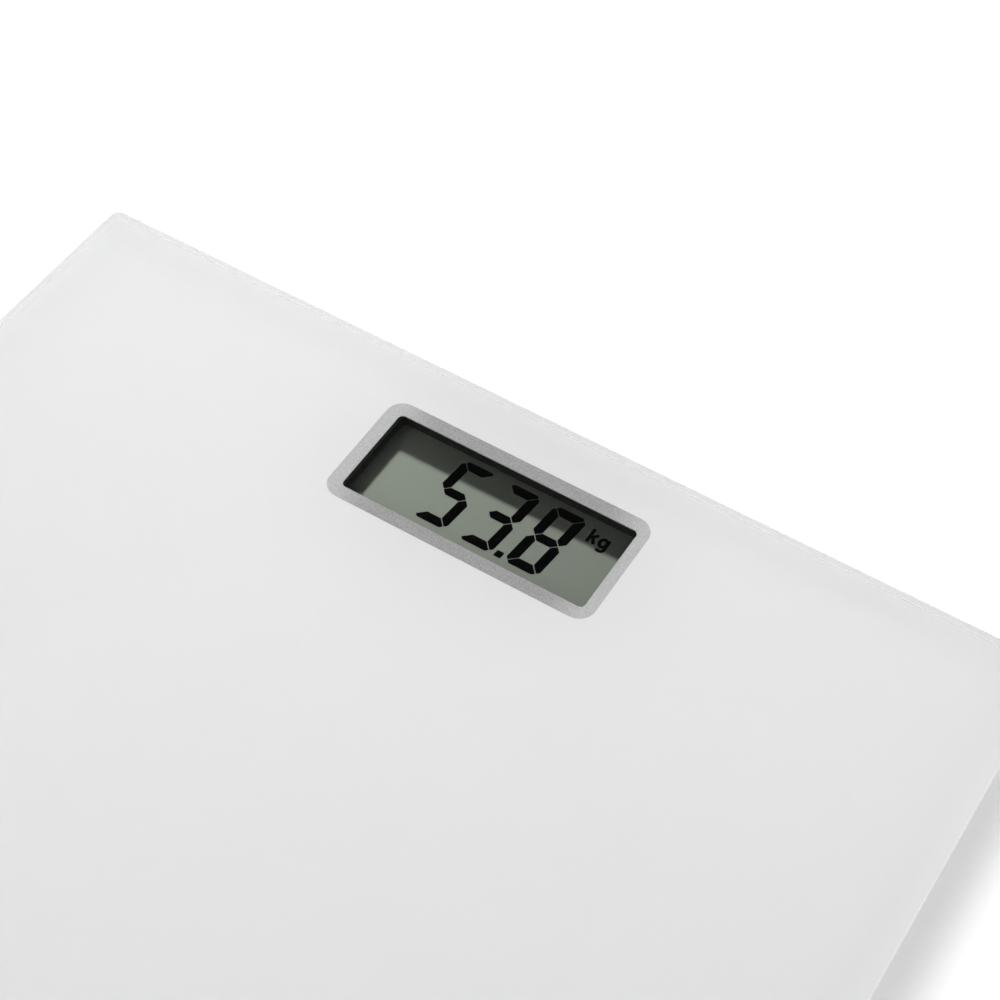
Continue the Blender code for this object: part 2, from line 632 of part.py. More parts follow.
def gauge_cover(silicone):
    """A domed pad of silicone over the strain gauge at the tongue's root."""
    sections = []
    for angle in (0, math.pi / 6, math.pi / 3):
        inset = GAUGE_HEIGHT * (1 - math.cos(angle))
        outline = rounded(GAUGE_WIDTH - 2 * inset, GAUGE_LENGTH - 2 * inset, GAUGE_HEIGHT * 1.2, steps=4)
        sections.append((outline, GAUGE_HEIGHT * math.sin(angle)))
    return loft("gauge_cover_far_left", sections, silicone)


def carrier(plastic):
    """The block that passes the platform's load to the load cell's outer frame."""
    low, high = CELL_HIGH + TOUCH_GAP, TAPE_LOW - LAYER_GAP
    outer = rounded(CELL_SIDE, CELL_SIDE, CELL_RADIUS, steps=4)
    opening = rounded(CARRIER_OPENING, CARRIER_OPENING, CELL_RADIUS, steps=4)
    block = ring("load_cell_carrier_far_left", outer, opening, 0, high - low, plastic)
    size = (CELL_SIDE / 2 + ROOT, CARRIER_NOTCH, (high - low) * 2 / 3 + ROOT)
    notch = box("carrier_notch", size, (size[0] / 2, GAUGE_Y, size[2] / 2 - ROOT), plastic)
    return reshape(block, "DIFFERENCE", [notch])


def foot_plunger(plastic):
    """The foot's hard part: a flange under the tray, and a snap-in stem that pushes the tongue."""
    low = PAD_THICKNESS + TOUCH_GAP
    tip = CELL_LOW - FOOT_TIP_GAP
    barb_low = TRAY_FLOOR_TOP + BARB_GAP
    barb_radius = STEM_RADIUS + STEM_CLEARANCE + BARB_WIDTH - STEM_CLEARANCE / 2
    recess = PAD_BOSS_RADIUS + TOUCH_GAP
    profile = (
        (0, low + PAD_BOSS_HEIGHT), (recess, low + PAD_BOSS_HEIGHT), (recess, low),
        (FOOT_RADIUS, low), (FOOT_RADIUS, low + FLANGE_THICKNESS * 0.7),
        (FOOT_RADIUS * 0.93, low + FLANGE_THICKNESS), (STEM_RADIUS, low + FLANGE_THICKNESS),
        (STEM_RADIUS, barb_low), (barb_radius, barb_low), (STEM_RADIUS, barb_low + BARB_THICKNESS),
        (FOOT_TIP_RADIUS, tip - FOOT_TIP_CROWN), (FOOT_TIP_RADIUS * 0.6, tip - FOOT_TIP_CROWN / 4),
        (0, tip),
    )
    return turned("foot_plunger_far_left", profile, plastic)


def foot_pad(rubber):
    edge = PAD_THICKNESS * 0.3
    profile = (
        (0, 0), (FOOT_RADIUS - edge, 0), (FOOT_RADIUS - edge * 0.3, edge * 0.3), (FOOT_RADIUS, edge),
        (FOOT_RADIUS, PAD_THICKNESS), (PAD_BOSS_RADIUS, PAD_THICKNESS),
        (PAD_BOSS_RADIUS, PAD_THICKNESS + PAD_BOSS_HEIGHT), (0, PAD_THICKNESS + PAD_BOSS_HEIGHT),
    )
    return turned("foot_pad_far_left", profile, rubber)


def sensor_lead(name, side_x, side_y, sheath):
    """A lead from a load cell's gauge, over the tray's ribs, to its end of the board."""
    run = RIB_TOP + LEAD_OVER_RIBS + LEAD_RADIUS
    notch_y = side_y * (FOOT_Y + GAUGE_Y)
    start_z = CELL_HIGH + GAUGE_HEIGHT + LEAD_RADIUS + TOUCH_GAP
    board_end = BOARD_CENTRE.x + side_x * (BOARD_WIDTH / 2 - 6 * LEAD_RADIUS)
    board_edge = BOARD_CENTRE.x + side_x * (BOARD_WIDTH / 2 - LEAD_RADIUS)
    clear_x = board_edge + side_x * 12 * LEAD_RADIUS
    leave_x = side_x * (FOOT_X - pocket_side(POCKET_WALL) / 2 - 4 * LEAD_RADIUS)
    end_y = FRONT_GLASS_CENTRE.y + side_y * LEAD_SPREAD
    end_z = BOARD_HIGH + LEAD_RADIUS + TOUCH_GAP
    route = [(side_x * (FOOT_X - GAUGE_WIDTH / 4), notch_y, start_z), (leave_x, notch_y, run)]
    if side_y < 0:
        route += [(clear_x + side_x * 6 * LEAD_RADIUS, notch_y * 0.7, run)]
        route += [(clear_x + side_x * 2 * LEAD_RADIUS, 0, run), (clear_x, end_y - 20 * LEAD_RADIUS, run)]
    else:
        route += [(clear_x, (notch_y + end_y) / 2, run)]
    route += [(board_edge, end_y, run), (board_end, end_y, end_z)]
    return tube(name, route, LEAD_RADIUS, sheath)


def corner_sets(steel, silicone, white, foam, grey, rubber, sheath):
    """The four load cells and feet. Those on the right are turned half round, to face the middle."""
    pieces = (
        ("load_cell", load_cell(steel), Vector((0, 0)), CELL_LOW),
        ("gauge_cover", gauge_cover(silicone), Vector((0, GAUGE_Y)), CELL_HIGH + LAYER_GAP),
        ("load_cell_carrier", carrier(white), Vector((0, 0)), CELL_HIGH + TOUCH_GAP),
        ("carrier_tape", carrier_tape(foam), Vector((0, 0)), TAPE_LOW),
        ("foot_plunger", foot_plunger(grey), Vector((0, 0)), 0),
        ("foot_pad", foot_pad(rubber), Vector((0, 0)), 0),
    )
    for kind, first, offset, height in pieces:
        for name, (side_x, side_y) in CORNERS.items():
            place = Vector((side_x * FOOT_X, side_y * FOOT_Y)) + Vector((offset.x, offset.y * side_y))
            if name == "far_left":
                first.location = at(place, height)
            else:
                made = copy_of(first, f"{kind}_{name}", at(place, height))
                made.scale = (-side_x, side_y, 1)
    for name, (side_x, side_y) in CORNERS.items():
        sensor_lead(f"sensor_lead_{name}", side_x, side_y, sheath)


def carrier_tape(foam):
    inset = CARRIER_TAPE_INSET
    outer = rounded(CELL_SIDE - 2 * inset, CELL_SIDE - 2 * inset, CELL_RADIUS - inset, steps=4)
    inner_side = CARRIER_OPENING + 2 * inset
    inner = rounded(inner_side, inner_side, CELL_RADIUS + inset, steps=4)
    return ring("carrier_tape_far_left", outer, inner, 0, TAPE_THICKNESS, foam)


def display_stack(film, glass, foil):
    """The display's layers, from its face down, and the strip that joins it to the board."""
    inset = POLARISER_INSET
    face = rounded(REAR_GLASS_WIDTH - 2 * inset, REAR_GLASS_DEPTH - 2 * inset, PART_CORNER, steps=2)
    rear = rounded(REAR_GLASS_WIDTH, REAR_GLASS_DEPTH, PART_CORNER, steps=2)
    front = rounded(REAR_GLASS_WIDTH, FRONT_GLASS_DEPTH, PART_CORNER, steps=2)
    middle, front_middle = at(WINDOW_CENTRE), at(FRONT_GLASS_CENTRE)
    prism("front_polariser", face, DISPLAY_FACE - POLARISER_THICKNESS, DISPLAY_FACE, film, middle)
    prism("lcd_front_glass", front, FRONT_GLASS_LOW, FRONT_GLASS_HIGH, glass, front_middle)
    prism("lcd_rear_glass", rear, REAR_GLASS_LOW, REAR_GLASS_HIGH, glass, middle)
    prism("rear_reflector", face, REFLECTOR_LOW, REFLECTOR_HIGH, foil, middle)


def zebra_strip(rubber):
    low, high = BOARD_HIGH + LAYER_GAP, FRONT_GLASS_LOW - LAYER_GAP
    y = WINDOW_CENTRE.y - REAR_GLASS_DEPTH / 2 - CONTACT_LEDGE / 2 - TOUCH_GAP / 2
    size = (REAR_GLASS_WIDTH - 2 * ZEBRA_END_MARGIN, ZEBRA_WIDTH, high - low)
    return box("zebra_strip", size, (WINDOW_CENTRE.x, y, (low + high) / 2), rubber)


def lcd_shroud(plastic):
    """The black frame that holds the display, is the well's walls, and is screwed down with the board."""
    top, low = PRINT_LOW - LAYER_GAP, BOARD_HIGH + LAYER_GAP
    lip_low = DISPLAY_FACE + LAYER_GAP
    outer = rounded(SHROUD_WIDTH, SHROUD_DEPTH, SHROUD_RADIUS, FRONT_GLASS_CENTRE)
    shroud = prism("lcd_shroud", outer, low, top, plastic)
    inner_width = REAR_GLASS_WIDTH + 2 * SHROUD_GAP
    inner_depth = FRONT_GLASS_DEPTH + 2 * SHROUD_GAP
    nest = rounded(inner_width, inner_depth, NEST_RADIUS, FRONT_GLASS_CENTRE)
    left = WINDOW_CENTRE.x - WINDOW_WIDTH / 2 + WELL_LEFT_LIP
    right = WINDOW_CENTRE.x + WINDOW_WIDTH / 2 + WELL_UNDERCUT
    far = WINDOW_CENTRE.y + WINDOW_DEPTH / 2 + WELL_UNDERCUT
    near = WINDOW_CENTRE.y - WINDOW_DEPTH / 2 - WELL_UNDERCUT
    well = rounded(right - left, far - near, WELL_RADIUS, ((left + right) / 2, (far + near) / 2))
    nest_cut = prism("nest", nest, low - ROOT, lip_low, plastic)
    well_cut = prism("well", well, lip_low - ROOT, top + ROOT, plastic)
    ears = []
    ear = circle(EAR_RADIUS, MEDIUM_SIDES)
    for i, place in enumerate(SCREW_PLACES):
        side = math.copysign(1, place.x - FRONT_GLASS_CENTRE.x)
        reach = EAR_REACH + ROOT
        centre = (place.x - side * reach / 2, place.y, low + EAR_THICKNESS / 2)
        ears.append(box(f"ear_arm_{i}", (reach, 2 * EAR_RADIUS, EAR_THICKNESS), centre, plastic))
        ears.append(prism(f"ear_{i}", ear, low, low + EAR_THICKNESS, plastic, at(place)))
    reshape(shroud, "UNION", ears)
    cuts = [nest_cut, well_cut]
    hole = circle(SCREW_RADIUS + SCREW_CLEARANCE, SMALL_SIDES)
    ear_high = low + EAR_THICKNESS
    for i, place in enumerate(SCREW_PLACES):
        cuts.append(prism(f"ear_hole_{i}", hole, low - ROOT, ear_high + ROOT, plastic, at(place)))
    return reshape(shroud, "DIFFERENCE", cuts)


def circuit_board(resin):
    outline = rounded(BOARD_WIDTH, BOARD_DEPTH, BOARD_RADIUS, BOARD_CENTRE, steps=3)
    board = prism("circuit_board", outline, BOARD_LOW, BOARD_HIGH, resin)
    hole = circle(SCREW_RADIUS + SCREW_CLEARANCE, SMALL_SIDES)
    holes = []
    for i, place in enumerate(SCREW_PLACES):
        holes.append(prism(f"board_hole_{i}", hole, BOARD_LOW - ROOT, BOARD_HIGH + ROOT, resin, at(place)))
    return reshape(board, "DIFFERENCE", holes)


def chip_coating(epoxy):
    """The domed coating over the chip, on the board's underside."""
    steps = 5
    sphere = (CHIP_RADIUS**2 + CHIP_HEIGHT**2) / (2 * CHIP_HEIGHT)
    profile = [(0, 0), (CHIP_RADIUS, 0)]
    for i in range(1, steps):
        radius = CHIP_RADIUS * (1 - i / steps)
        profile.append((radius, -(math.sqrt(sphere**2 - radius**2) - sphere + CHIP_HEIGHT)))
    profile.append((0, -CHIP_HEIGHT))
    place = at(WINDOW_CENTRE + CHIP_OFFSET, BOARD_LOW - LAYER_GAP)
    return turned("chip_coating", profile, epoxy, place, MEDIUM_SIDES)


def board_screws(steel):
    head_low = BOARD_HIGH + LAYER_GAP + EAR_THICKNESS + TOUCH_GAP
    tip = BOARD_LOW - TOUCH_GAP - SCREW_BITE - head_low
    core = SCREW_RADIUS
    profile = (
        (0, tip), (core * 0.5, tip), (core, tip + core), (core, 0), (SCREW_HEAD_RADIUS, 0),
        (SCREW_HEAD_RADIUS, SCREW_HEAD_HEIGHT * 0.5), (SCREW_HEAD_RADIUS * 0.8, SCREW_HEAD_HEIGHT * 0.9),
        (SCREW_HEAD_RADIUS * 0.4, SCREW_HEAD_HEIGHT), (0, SCREW_HEAD_HEIGHT),
    )
    first = turned("board_screw_1", profile, steel, steps=SMALL_SIDES)
    depth = (0, 0, SCREW_HEAD_HEIGHT - RECESS_DEPTH / 2 + ROOT / 2)
    size = (RECESS_LENGTH, RECESS_WIDTH, RECESS_DEPTH + ROOT)
    bars = [box("recess_1", size, depth, steel), box("recess_2", (size[1], size[0], size[2]), depth, steel)]
    reshape(first, "DIFFERENCE", bars)
    first.location = at(SCREW_PLACES[0], head_low)
    for i, place in enumerate(SCREW_PLACES[1:], 2):
        copy_of(first, f"board_screw_{i}", at(place, head_low), turn=SCREW_TURN * i)


def unit_switch(black, metal, grey):
    """The switch under the board, its plunger, and the button in the tray that pushes it."""
    outline = rounded(SWITCH_SIDE, SWITCH_SIDE, PART_CORNER, steps=2)
    place = at(BUTTON_CENTRE)
    switch = prism("unit_switch", outline, SWITCH_LOW, SWITCH_HIGH, metal, place)
    hole = circle(PLUNGER_RADIUS + BUTTON_GAP / 2, MEDIUM_SIDES)
    hole_top = PLUNGER_LOW + PLUNGER_LENGTH + BUTTON_TRAVEL + LAYER_GAP
    reshape(switch, "DIFFERENCE", [prism("plunger_hole", hole, SWITCH_LOW - ROOT, hole_top, metal, place)])
    outline = circle(PLUNGER_RADIUS, MEDIUM_SIDES)
    prism("switch_plunger", outline, 0, PLUNGER_LENGTH, black, at(BUTTON_CENTRE, PLUNGER_LOW))
    low = FLOOR_TO_TRAY + BUTTON_RECESS
    flange_low = TRAY_FLOOR_TOP + TOUCH_GAP - low
    flange_radius = BUTTON_RADIUS + BUTTON_FLANGE
    flange_high = flange_low + BUTTON_FLANGE_THICKNESS
    profile = (
        (0, BUTTON_DISH), (BUTTON_RADIUS * 0.6, BUTTON_DISH * 0.4), (BUTTON_RADIUS * 0.86, 0),
        (BUTTON_RADIUS, SMALL_EDGE), (BUTTON_RADIUS, flange_low), (flange_radius, flange_low),
        (flange_radius, flange_high), (PLUNGER_RADIUS, flange_high),
        (PLUNGER_RADIUS, BUTTON_TOP - low), (0, BUTTON_TOP - low),
    )
    turned("unit_button", profile, grey, at(BUTTON_CENTRE, low))


def coin_cell(steel):
    height, edge = COIN_HEIGHT, SMALL_EDGE
    shoulder = height - COIN_CAP_HEIGHT
    profile = (
        (0, 0), (COIN_RADIUS - edge, 0), (COIN_RADIUS, edge), (COIN_RADIUS, shoulder - edge),
        (COIN_RADIUS - edge, shoulder), (COIN_CAP_RADIUS + edge, shoulder),
        (COIN_CAP_RADIUS, height), (0, height),
    )
    return turned("coin_cell", profile, steel, at(BATTERY_CENTRE, COIN_LOW), LARGE_SIDES)


def battery_cover(plastic):
    """A cup with a coin slot below and lugs that lock over the tray's floor."""
    wall_top = LUG_HIGH - FLOOR_TO_TRAY
    cup = COVER_RADIUS - COVER_WALL
    profile = (
        (0, 0), (COVER_RADIUS - COVER_EDGE, 0), (COVER_RADIUS, COVER_EDGE), (COVER_RADIUS, wall_top),
        (cup, wall_top), (cup, COVER_FLOOR), (0, COVER_FLOOR),
    )
    cover = turned("battery_cover", profile, plastic, steps=LARGE_SIDES)
    lugs = []
    length = COVER_WALL / 2 + LUG_REACH
    for i in range(LUG_COUNT):
        angle = lug_angle(i)
        centre = Vector((math.cos(angle), math.sin(angle))) * (COVER_RADIUS + LUG_REACH - length / 2)
        height = (LUG_LOW + LUG_HIGH) / 2 - FLOOR_TO_TRAY
        lug = box(f"lug_{i}", (length, LUG_WIDTH, LUG_THICKNESS), at(centre, height), plastic)
        lug.rotation_euler.z = angle
        lugs.append(lug)
    reshape(cover, "UNION", lugs)
    size = (COIN_SLOT_LENGTH, COIN_SLOT_WIDTH, COIN_SLOT_DEPTH + ROOT)
    slot = box("coin_slot", size, (0, 0, COIN_SLOT_DEPTH - size[2] / 2), plastic)
    reshape(cover, "DIFFERENCE", [slot])
    cover.location = at(BATTERY_CENTRE, FLOOR_TO_TRAY)


def strip(name, profile, surface):
    """A bent strip of spring metal: a side view of (y, z) points, as wide as a contact."""
    half = CONTACT_WIDTH / 2
    form = bmesh.new()
    sides = [[form.verts.new((x, y, z)) for y, z in profile] for x in (-half, half)]
    form.faces.new(sides[0])
    form.faces.new(sides[1])
    for i in range(len(profile)):
        j = (i + 1) % len(profile)
        form.faces.new((sides[0][i], sides[0][j], sides[1][j], sides[1][i]))
    return object_from(name, form, surface, at(BATTERY_CENTRE))


def battery_contacts(spring):
    """The leaf over the cell's cap, and the strip at its side, each with a tab through the dock's roof."""
    thick, top = CONTACT_THICKNESS, DOCK_ROOF_HIGH + CONTACT_TAB
    tab = leaf_tab_y()
    leaf = (
        (tab - thick / 2, LEAF_LOW), (COIN_CAP_RADIUS * 0.6, LEAF_LOW),
        (COIN_CAP_RADIUS * 0.6, LEAF_LOW + thick), (tab + thick / 2, LEAF_LOW + thick),
        (tab + thick / 2, top), (tab - thick / 2, top),
    )
    strip("contact_negative", leaf, spring)
    side = side_tab_y()
    low = COIN_HIGH - COIN_CAP_HEIGHT - COIN_HEIGHT / 3
    left, right = side - thick / 2, side + thick / 2
    strip("contact_positive", ((left, low), (right, low), (right, top), (left, top)), spring)


def battery_leads(red, black):
    """From each contact's tab, over the ribs, to the near edge of the board."""
    top = DOCK_ROOF_HIGH + CONTACT_TAB
    run = max(top, RIB_TOP) + BATTERY_LEAD_RADIUS + LEAD_OVER_RIBS
    end_y = BOARD_CENTRE.y - BOARD_DEPTH / 2 + 2 * BATTERY_LEAD_RADIUS
    end_z = BOARD_HIGH + BATTERY_LEAD_RADIUS + TOUCH_GAP
    ends = (
        ("negative", leaf_tab_y(), -CONTACT_WIDTH, black),
        ("positive", side_tab_y(), CONTACT_WIDTH, red),
    )
    for name, tab_y, x, wire in ends:
        tab = BATTERY_CENTRE + Vector((0, tab_y))
        middle_y = (BATTERY_CENTRE.y + DOCK_OUTER_RADIUS + end_y) / 2
        route = [(tab.x, tab.y, run), (tab.x + x * 0.7, (tab.y + middle_y) / 2, run)]
        route += [(tab.x + x, middle_y, run), (tab.x + x, end_y, end_z)]
        tube(f"battery_lead_{name}", route, BATTERY_LEAD_RADIUS, wire, step=LEAD_STEP / 2)


def build():
    remove_everything()
    glass = material("glass", (0.86, 0.93, 0.90), 0.03, transmission=1.0)
    enamel = material("white_enamel", (0.86, 0.86, 0.86), 0.4)
    silver = material("silver_ink", (0.45, 0.45, 0.45), 0.5, 0.3)
    white = material("white_plastic", (0.82, 0.82, 0.81), 0.45)
    grey = material("grey_plastic", (0.45, 0.46, 0.47), 0.5)
    black = material("black_plastic", (0.012, 0.013, 0.012), 0.5)
    foam = material("white_foam_tape", (0.75, 0.75, 0.72), 0.9)
    steel = material("zinc_plated_steel", (0.62, 0.62, 0.60), 0.35, 1.0)
    spring = material("nickel_plated_spring", (0.7, 0.69, 0.65), 0.25, 1.0)
    silicone = material("white_silicone", (0.85, 0.85, 0.82), 0.6)
    rubber = material("grey_rubber", (0.16, 0.165, 0.17), 0.8)
    film = material("polariser_film", (0.26, 0.28, 0.24), 0.25)
    display_glass = material("display_glass", (0.8, 0.86, 0.83), 0.05, transmission=0.9)
    foil = material("reflector_foil", (0.6, 0.62, 0.58), 0.4, 0.6)
    resin = material("green_board", (0.03, 0.16, 0.07), 0.4)
    epoxy = material("black_epoxy", (0.01, 0.01, 0.01), 0.3)
    carbon = material("zebra_rubber", (0.35, 0.35, 0.36), 0.7)
    red = material("red_wire", (0.5, 0.02, 0.02), 0.4)
    black_wire = material("black_wire", (0.01, 0.01, 0.01), 0.4)
    sheath = material("white_wire", (0.75, 0.75, 0.74), 0.45)
    glass_plate(glass)
    printed_layers(enamel, silver)
    rim_tape(foam)
    base_tray(white)
    corner_sets(steel, silicone, white, foam, grey, rubber, sheath)
    display_stack(film, display_glass, foil)
    zebra_strip(carbon)
    lcd_shroud(black)
    circuit_board(resin)
    chip_coating(epoxy)
    board_screws(steel)
    unit_switch(black, steel, grey)
    coin_cell(steel)
    battery_cover(grey)
    battery_contacts(spring)
    battery_leads(red, black_wire)


build()
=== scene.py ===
"""Looks of a digital bathroom scale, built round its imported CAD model.

Lengths are in metres. The origin is on the floor under the middle of the platform. +X runs along
the display, +Y towards the edge that the display is near, and +Z is up.
"""

import json
import math

import bmesh
import bpy
from mathutils import Matrix, Vector

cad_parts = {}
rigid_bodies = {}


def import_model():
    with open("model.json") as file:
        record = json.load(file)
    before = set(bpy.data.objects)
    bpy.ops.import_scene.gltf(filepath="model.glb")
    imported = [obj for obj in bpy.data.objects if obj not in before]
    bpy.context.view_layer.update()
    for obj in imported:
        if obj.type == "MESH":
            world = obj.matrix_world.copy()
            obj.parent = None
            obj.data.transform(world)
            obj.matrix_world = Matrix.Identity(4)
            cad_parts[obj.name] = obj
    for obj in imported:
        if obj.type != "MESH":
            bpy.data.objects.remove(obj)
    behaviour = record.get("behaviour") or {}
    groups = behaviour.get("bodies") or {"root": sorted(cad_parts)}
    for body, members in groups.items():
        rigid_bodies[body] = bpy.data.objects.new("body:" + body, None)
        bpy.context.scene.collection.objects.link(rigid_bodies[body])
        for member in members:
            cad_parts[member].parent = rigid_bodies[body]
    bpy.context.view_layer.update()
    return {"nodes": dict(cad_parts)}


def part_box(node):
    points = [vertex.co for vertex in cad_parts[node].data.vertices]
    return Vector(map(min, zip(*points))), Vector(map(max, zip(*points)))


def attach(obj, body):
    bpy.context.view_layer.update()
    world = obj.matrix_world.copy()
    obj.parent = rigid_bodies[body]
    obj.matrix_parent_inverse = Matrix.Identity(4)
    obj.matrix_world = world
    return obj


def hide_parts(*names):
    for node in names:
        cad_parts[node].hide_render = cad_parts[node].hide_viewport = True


bl_info = {
    "name": "Digital bathroom scale",
    "version": (1, 0, 0),
    "blender": (4, 5, 0),
    "location": "3D View > Sidebar > Scale",
    "description": "Glass platform, display, tray, feet and inner works of a bathroom scale",
    "category": "Add Mesh",
}

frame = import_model()

MM = 0.001
BODY = "scale"
CORNERS = ("far_left", "far_right", "near_left", "near_right")
PLATE_LOW, PLATE_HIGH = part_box("glass_plate")
BORDER_LOW, BORDER_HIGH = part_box("window_border")
FILM_LOW, FILM_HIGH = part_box("front_polariser")
WELL = ("front_polariser", "lcd_front_glass", "lcd_shroud", "display_digits", "display_unit")
LIT_LOW = FILM_HIGH.z + 0.01 * MM
LIT_HIGH = LIT_LOW + 0.03 * MM
LETTER_PITCH = 0.66
SHARP_ANGLE = math.radians(32)

# Finishes of the rebuilt platform, in the order of its material slots
GLASS, EDGE, ENAMEL, SILVER = range(4)
ROUND_STEPS = 5
FLAT_START = 1.6
GLASS_IOR = 1.5
# Width of the band of painted light along the enamel's rim
LIGHTENED_RIM_WIDTH = 8 * MM
# Where the painted sheen on the silver border starts and where it is full, out from the middle
SHEEN_START, SHEEN_FULL = 25 * MM, 40 * MM

# Foot pads
BOSS_RADIUS = 6 * MM
BOSS_CHAMFER = 0.1 * MM
PAD_TOP = 2.1 * MM
PAD_CHAMFER = 0.25 * MM
SOLE_ROUND = 0.7 * MM
FIRST_GROOVE, GROOVE_SPREAD = 0.38, 0.42

# Stage
FLOOR_HALF_SIDE = 4
FLOOR_DROP = 0.2 * MM
TABLE_NEAR, TABLE_FAR = 0.25, 0.9
MIRROR_SHARE = 0.4


# Shader maths


class Signal:
    """A number in a shader. Python arithmetic on it adds Math nodes."""

    def __init__(self, finish, socket):
        self.finish = finish
        self.socket = socket

    def _math(self, operation, first, second):
        made = self.finish.node("ShaderNodeMath", {"operation": operation}, {0: first, 1: second})
        return Signal(self.finish, made.outputs[0])

    def __add__(self, other):
        return self._math("ADD", self, other)

    def __radd__(self, other):
        return self._math("ADD", other, self)

    def __sub__(self, other):
        return self._math("SUBTRACT", self, other)

    def __rsub__(self, other):
        return self._math("SUBTRACT", other, self)

    def __mul__(self, other):
        return self._math("MULTIPLY", self, other)

    def __rmul__(self, other):
        return self._math("MULTIPLY", other, self)

    def __mod__(self, other):
        return self._math("FLOORED_MODULO", self, other)

    def __gt__(self, other):
        return self._math("GREATER_THAN", self, other)

    def __lt__(self, other):
        return self._math("LESS_THAN", self, other)

    def ramp(self, low, high):
        """0 below low, 1 above high, smooth between."""
        settings = {"interpolation_type": "SMOOTHSTEP"}
        inputs = {"Value": self, "From Min": low, "From Max": high}
        made = self.finish.node("ShaderNodeMapRange", settings, inputs)
        return Signal(self.finish, made.outputs["Result"])


class Nodes:
    """Makes and feeds the nodes of one tree."""

    def __init__(self, tree):
        self.tree = tree

    def node(self, kind, settings=None, inputs=None):
        """A node of that type, its settings made first, then the values or links of its sockets."""
        made = self.tree.nodes.new(kind)
        for name, value in (settings or {}).items():
            setattr(made, name, value)
        for name, value in (inputs or {}).items():
            self.feed(made.inputs[name], value)
        return made

    def feed(self, socket, value):
        if isinstance(value, Signal):
            value = value.socket
        if isinstance(value, bpy.types.NodeSocket):
            self.tree.links.new(value, socket)
        else:
            socket.default_value = value


class Finish(Nodes):
    """A material in the making, round one Principled shader."""

    def __init__(self, name):
        self.material = bpy.data.materials.new(name)
        self.material.use_nodes = True
        super().__init__(self.material.node_tree)
        self.shader = self.tree.nodes["Principled BSDF"]
        self.output = self.tree.nodes["Material Output"]
        self.place = self.node("ShaderNodeTexCoord").outputs["Object"]

    def shade(self, inputs):
        for name, value in inputs.items():
            if name == "Base Color" and isinstance(value, tuple):
                value = (*value, 1)
            self.feed(self.shader.inputs[name], value)
        return self.material

    def noise(self, per_metre, detail=2.0, roughness=0.5, stretch=(1, 1, 1)):
        """Noise with about that many grains to a metre, from 0 to 1."""
        stretching = {0: self.place, 1: stretch}
        where = self.node("ShaderNodeVectorMath", {"operation": "MULTIPLY"}, stretching)
        inputs = {
            "Vector": where.outputs[0],
            "Scale": per_metre,
            "Detail": detail,
            "Roughness": roughness,
        }
        return Signal(self, self.node("ShaderNodeTexNoise", {}, inputs).outputs[0])

    def cells(self, per_metre):
        """Distance from the middle of the nearest of that many cells to a metre."""
        inputs = {"Vector": self.place, "Scale": per_metre}
        made = self.node("ShaderNodeTexVoronoi", {"feature": "F1"}, inputs)
        return Signal(self, made.outputs["Distance"])

    def along(self, axis):
        """Place along an axis, in metres."""
        parts = self.node("ShaderNodeSeparateXYZ", {}, {0: self.place})
        return Signal(self, parts.outputs[axis])

    def mix(self, mask, first, second):
        """The first colour where the mask is 0, the second where it is 1."""
        inputs = {0: mask, 6: colour(first), 7: colour(second)}
        return self.node("ShaderNodeMix", {"data_type": "RGBA"}, inputs).outputs[2]

    def bump(self, height, depth, strength):
        """A normal, from a height of 0 to 1 that stands for that depth."""
        inputs = {"Height": height, "Distance": depth, "Strength": strength}
        return self.node("ShaderNodeBump", {}, inputs).outputs[0]

    def pass_lamp_light(self, tint):
        """Lets lamps shine straight through, as they do through a flat pane."""
        path = self.node("ShaderNodeLightPath")
        clear = self.node("ShaderNodeBsdfTransparent", {}, {"Color": colour(tint)})
        lamp_light = path.outputs["Is Shadow Ray"]
        inputs = {0: lamp_light, 1: self.shader.outputs[0], 2: clear.outputs[0]}
        pane = self.node("ShaderNodeMixShader", {}, inputs)
        self.feed(self.output.inputs["Surface"], pane.outputs[0])


def colour(value):
    """A colour link as it is, or red, green and blue with alpha added."""
    if isinstance(value, bpy.types.NodeSocket):
        return value
    return (*value[:3], 1)


def scaled(value, factor):
    """A colour made lighter or darker."""
    return tuple(channel * factor for channel in value[:3])


# Finishes


def platform_glass(tint):
    """Clear toughened glass with the faintest smears on it."""
    finish = Finish("platform_glass")
    smears = finish.noise(18, detail=3, roughness=0.6, stretch=(1, 0.45, 1))
    finish.shade({
        "Base Color": tuple(tint),
        "Roughness": smears.ramp(0.45, 0.8) * 0.02,
        "Transmission Weight": 1.0,
        "IOR": GLASS_IOR,
    })
    finish.pass_lamp_light(tint)
    return finish.material


def polished_edge_glass(tint):
    """The ground and polished edge, with the faint lines that the wheel leaves along it."""
    finish = Finish("polished_edge_glass")
    lines = finish.noise(900, detail=2, stretch=(0.05, 0.05, 6))
    finish.shade({
        "Base Color": tuple(tint),
        "Roughness": 0.2 + lines * 0.1,
        "Transmission Weight": 1.0,
        "IOR": GLASS_IOR,
    })
    finish.pass_lamp_light(tint)
    return finish.material


def fired_enamel(name, shade, gloss, bonded, half_side=None):
    """White ceramic ink fired on the back of the glass.

    Its bonded side has no shine of its own. It is painted lighter along the rim, as painted light
    that fills the shade along the glass's edges.
    """
    finish = Finish(name)
    mottle = finish.noise(35, detail=4, roughness=0.6)
    fine = finish.noise(1600, detail=1)
    tone = mottle * 0.6 + fine * 0.4
    print_and_rim_light = finish.mix(tone, scaled(shade, 0.985), scaled(shade, 1.01))
    # Painted light: the white is lighter near the plate's rim, filling the shade that falls along
    # its edges.
    if half_side:
        start, stop = (half_side - LIGHTENED_RIM_WIDTH) ** 2, half_side ** 2
        across, along = finish.along("X"), finish.along("Y")
        rim_painted_light = (across * across).ramp(start, stop) + (along * along).ramp(start, stop)
        print_and_rim_light = finish.mix(rim_painted_light, print_and_rim_light, scaled(shade, 1.04))
    return finish.shade({
        "Base Color": print_and_rim_light,
        "Roughness": gloss + fine * 0.08,
        "Specular IOR Level": 0.0 if bonded else 0.5,
    })


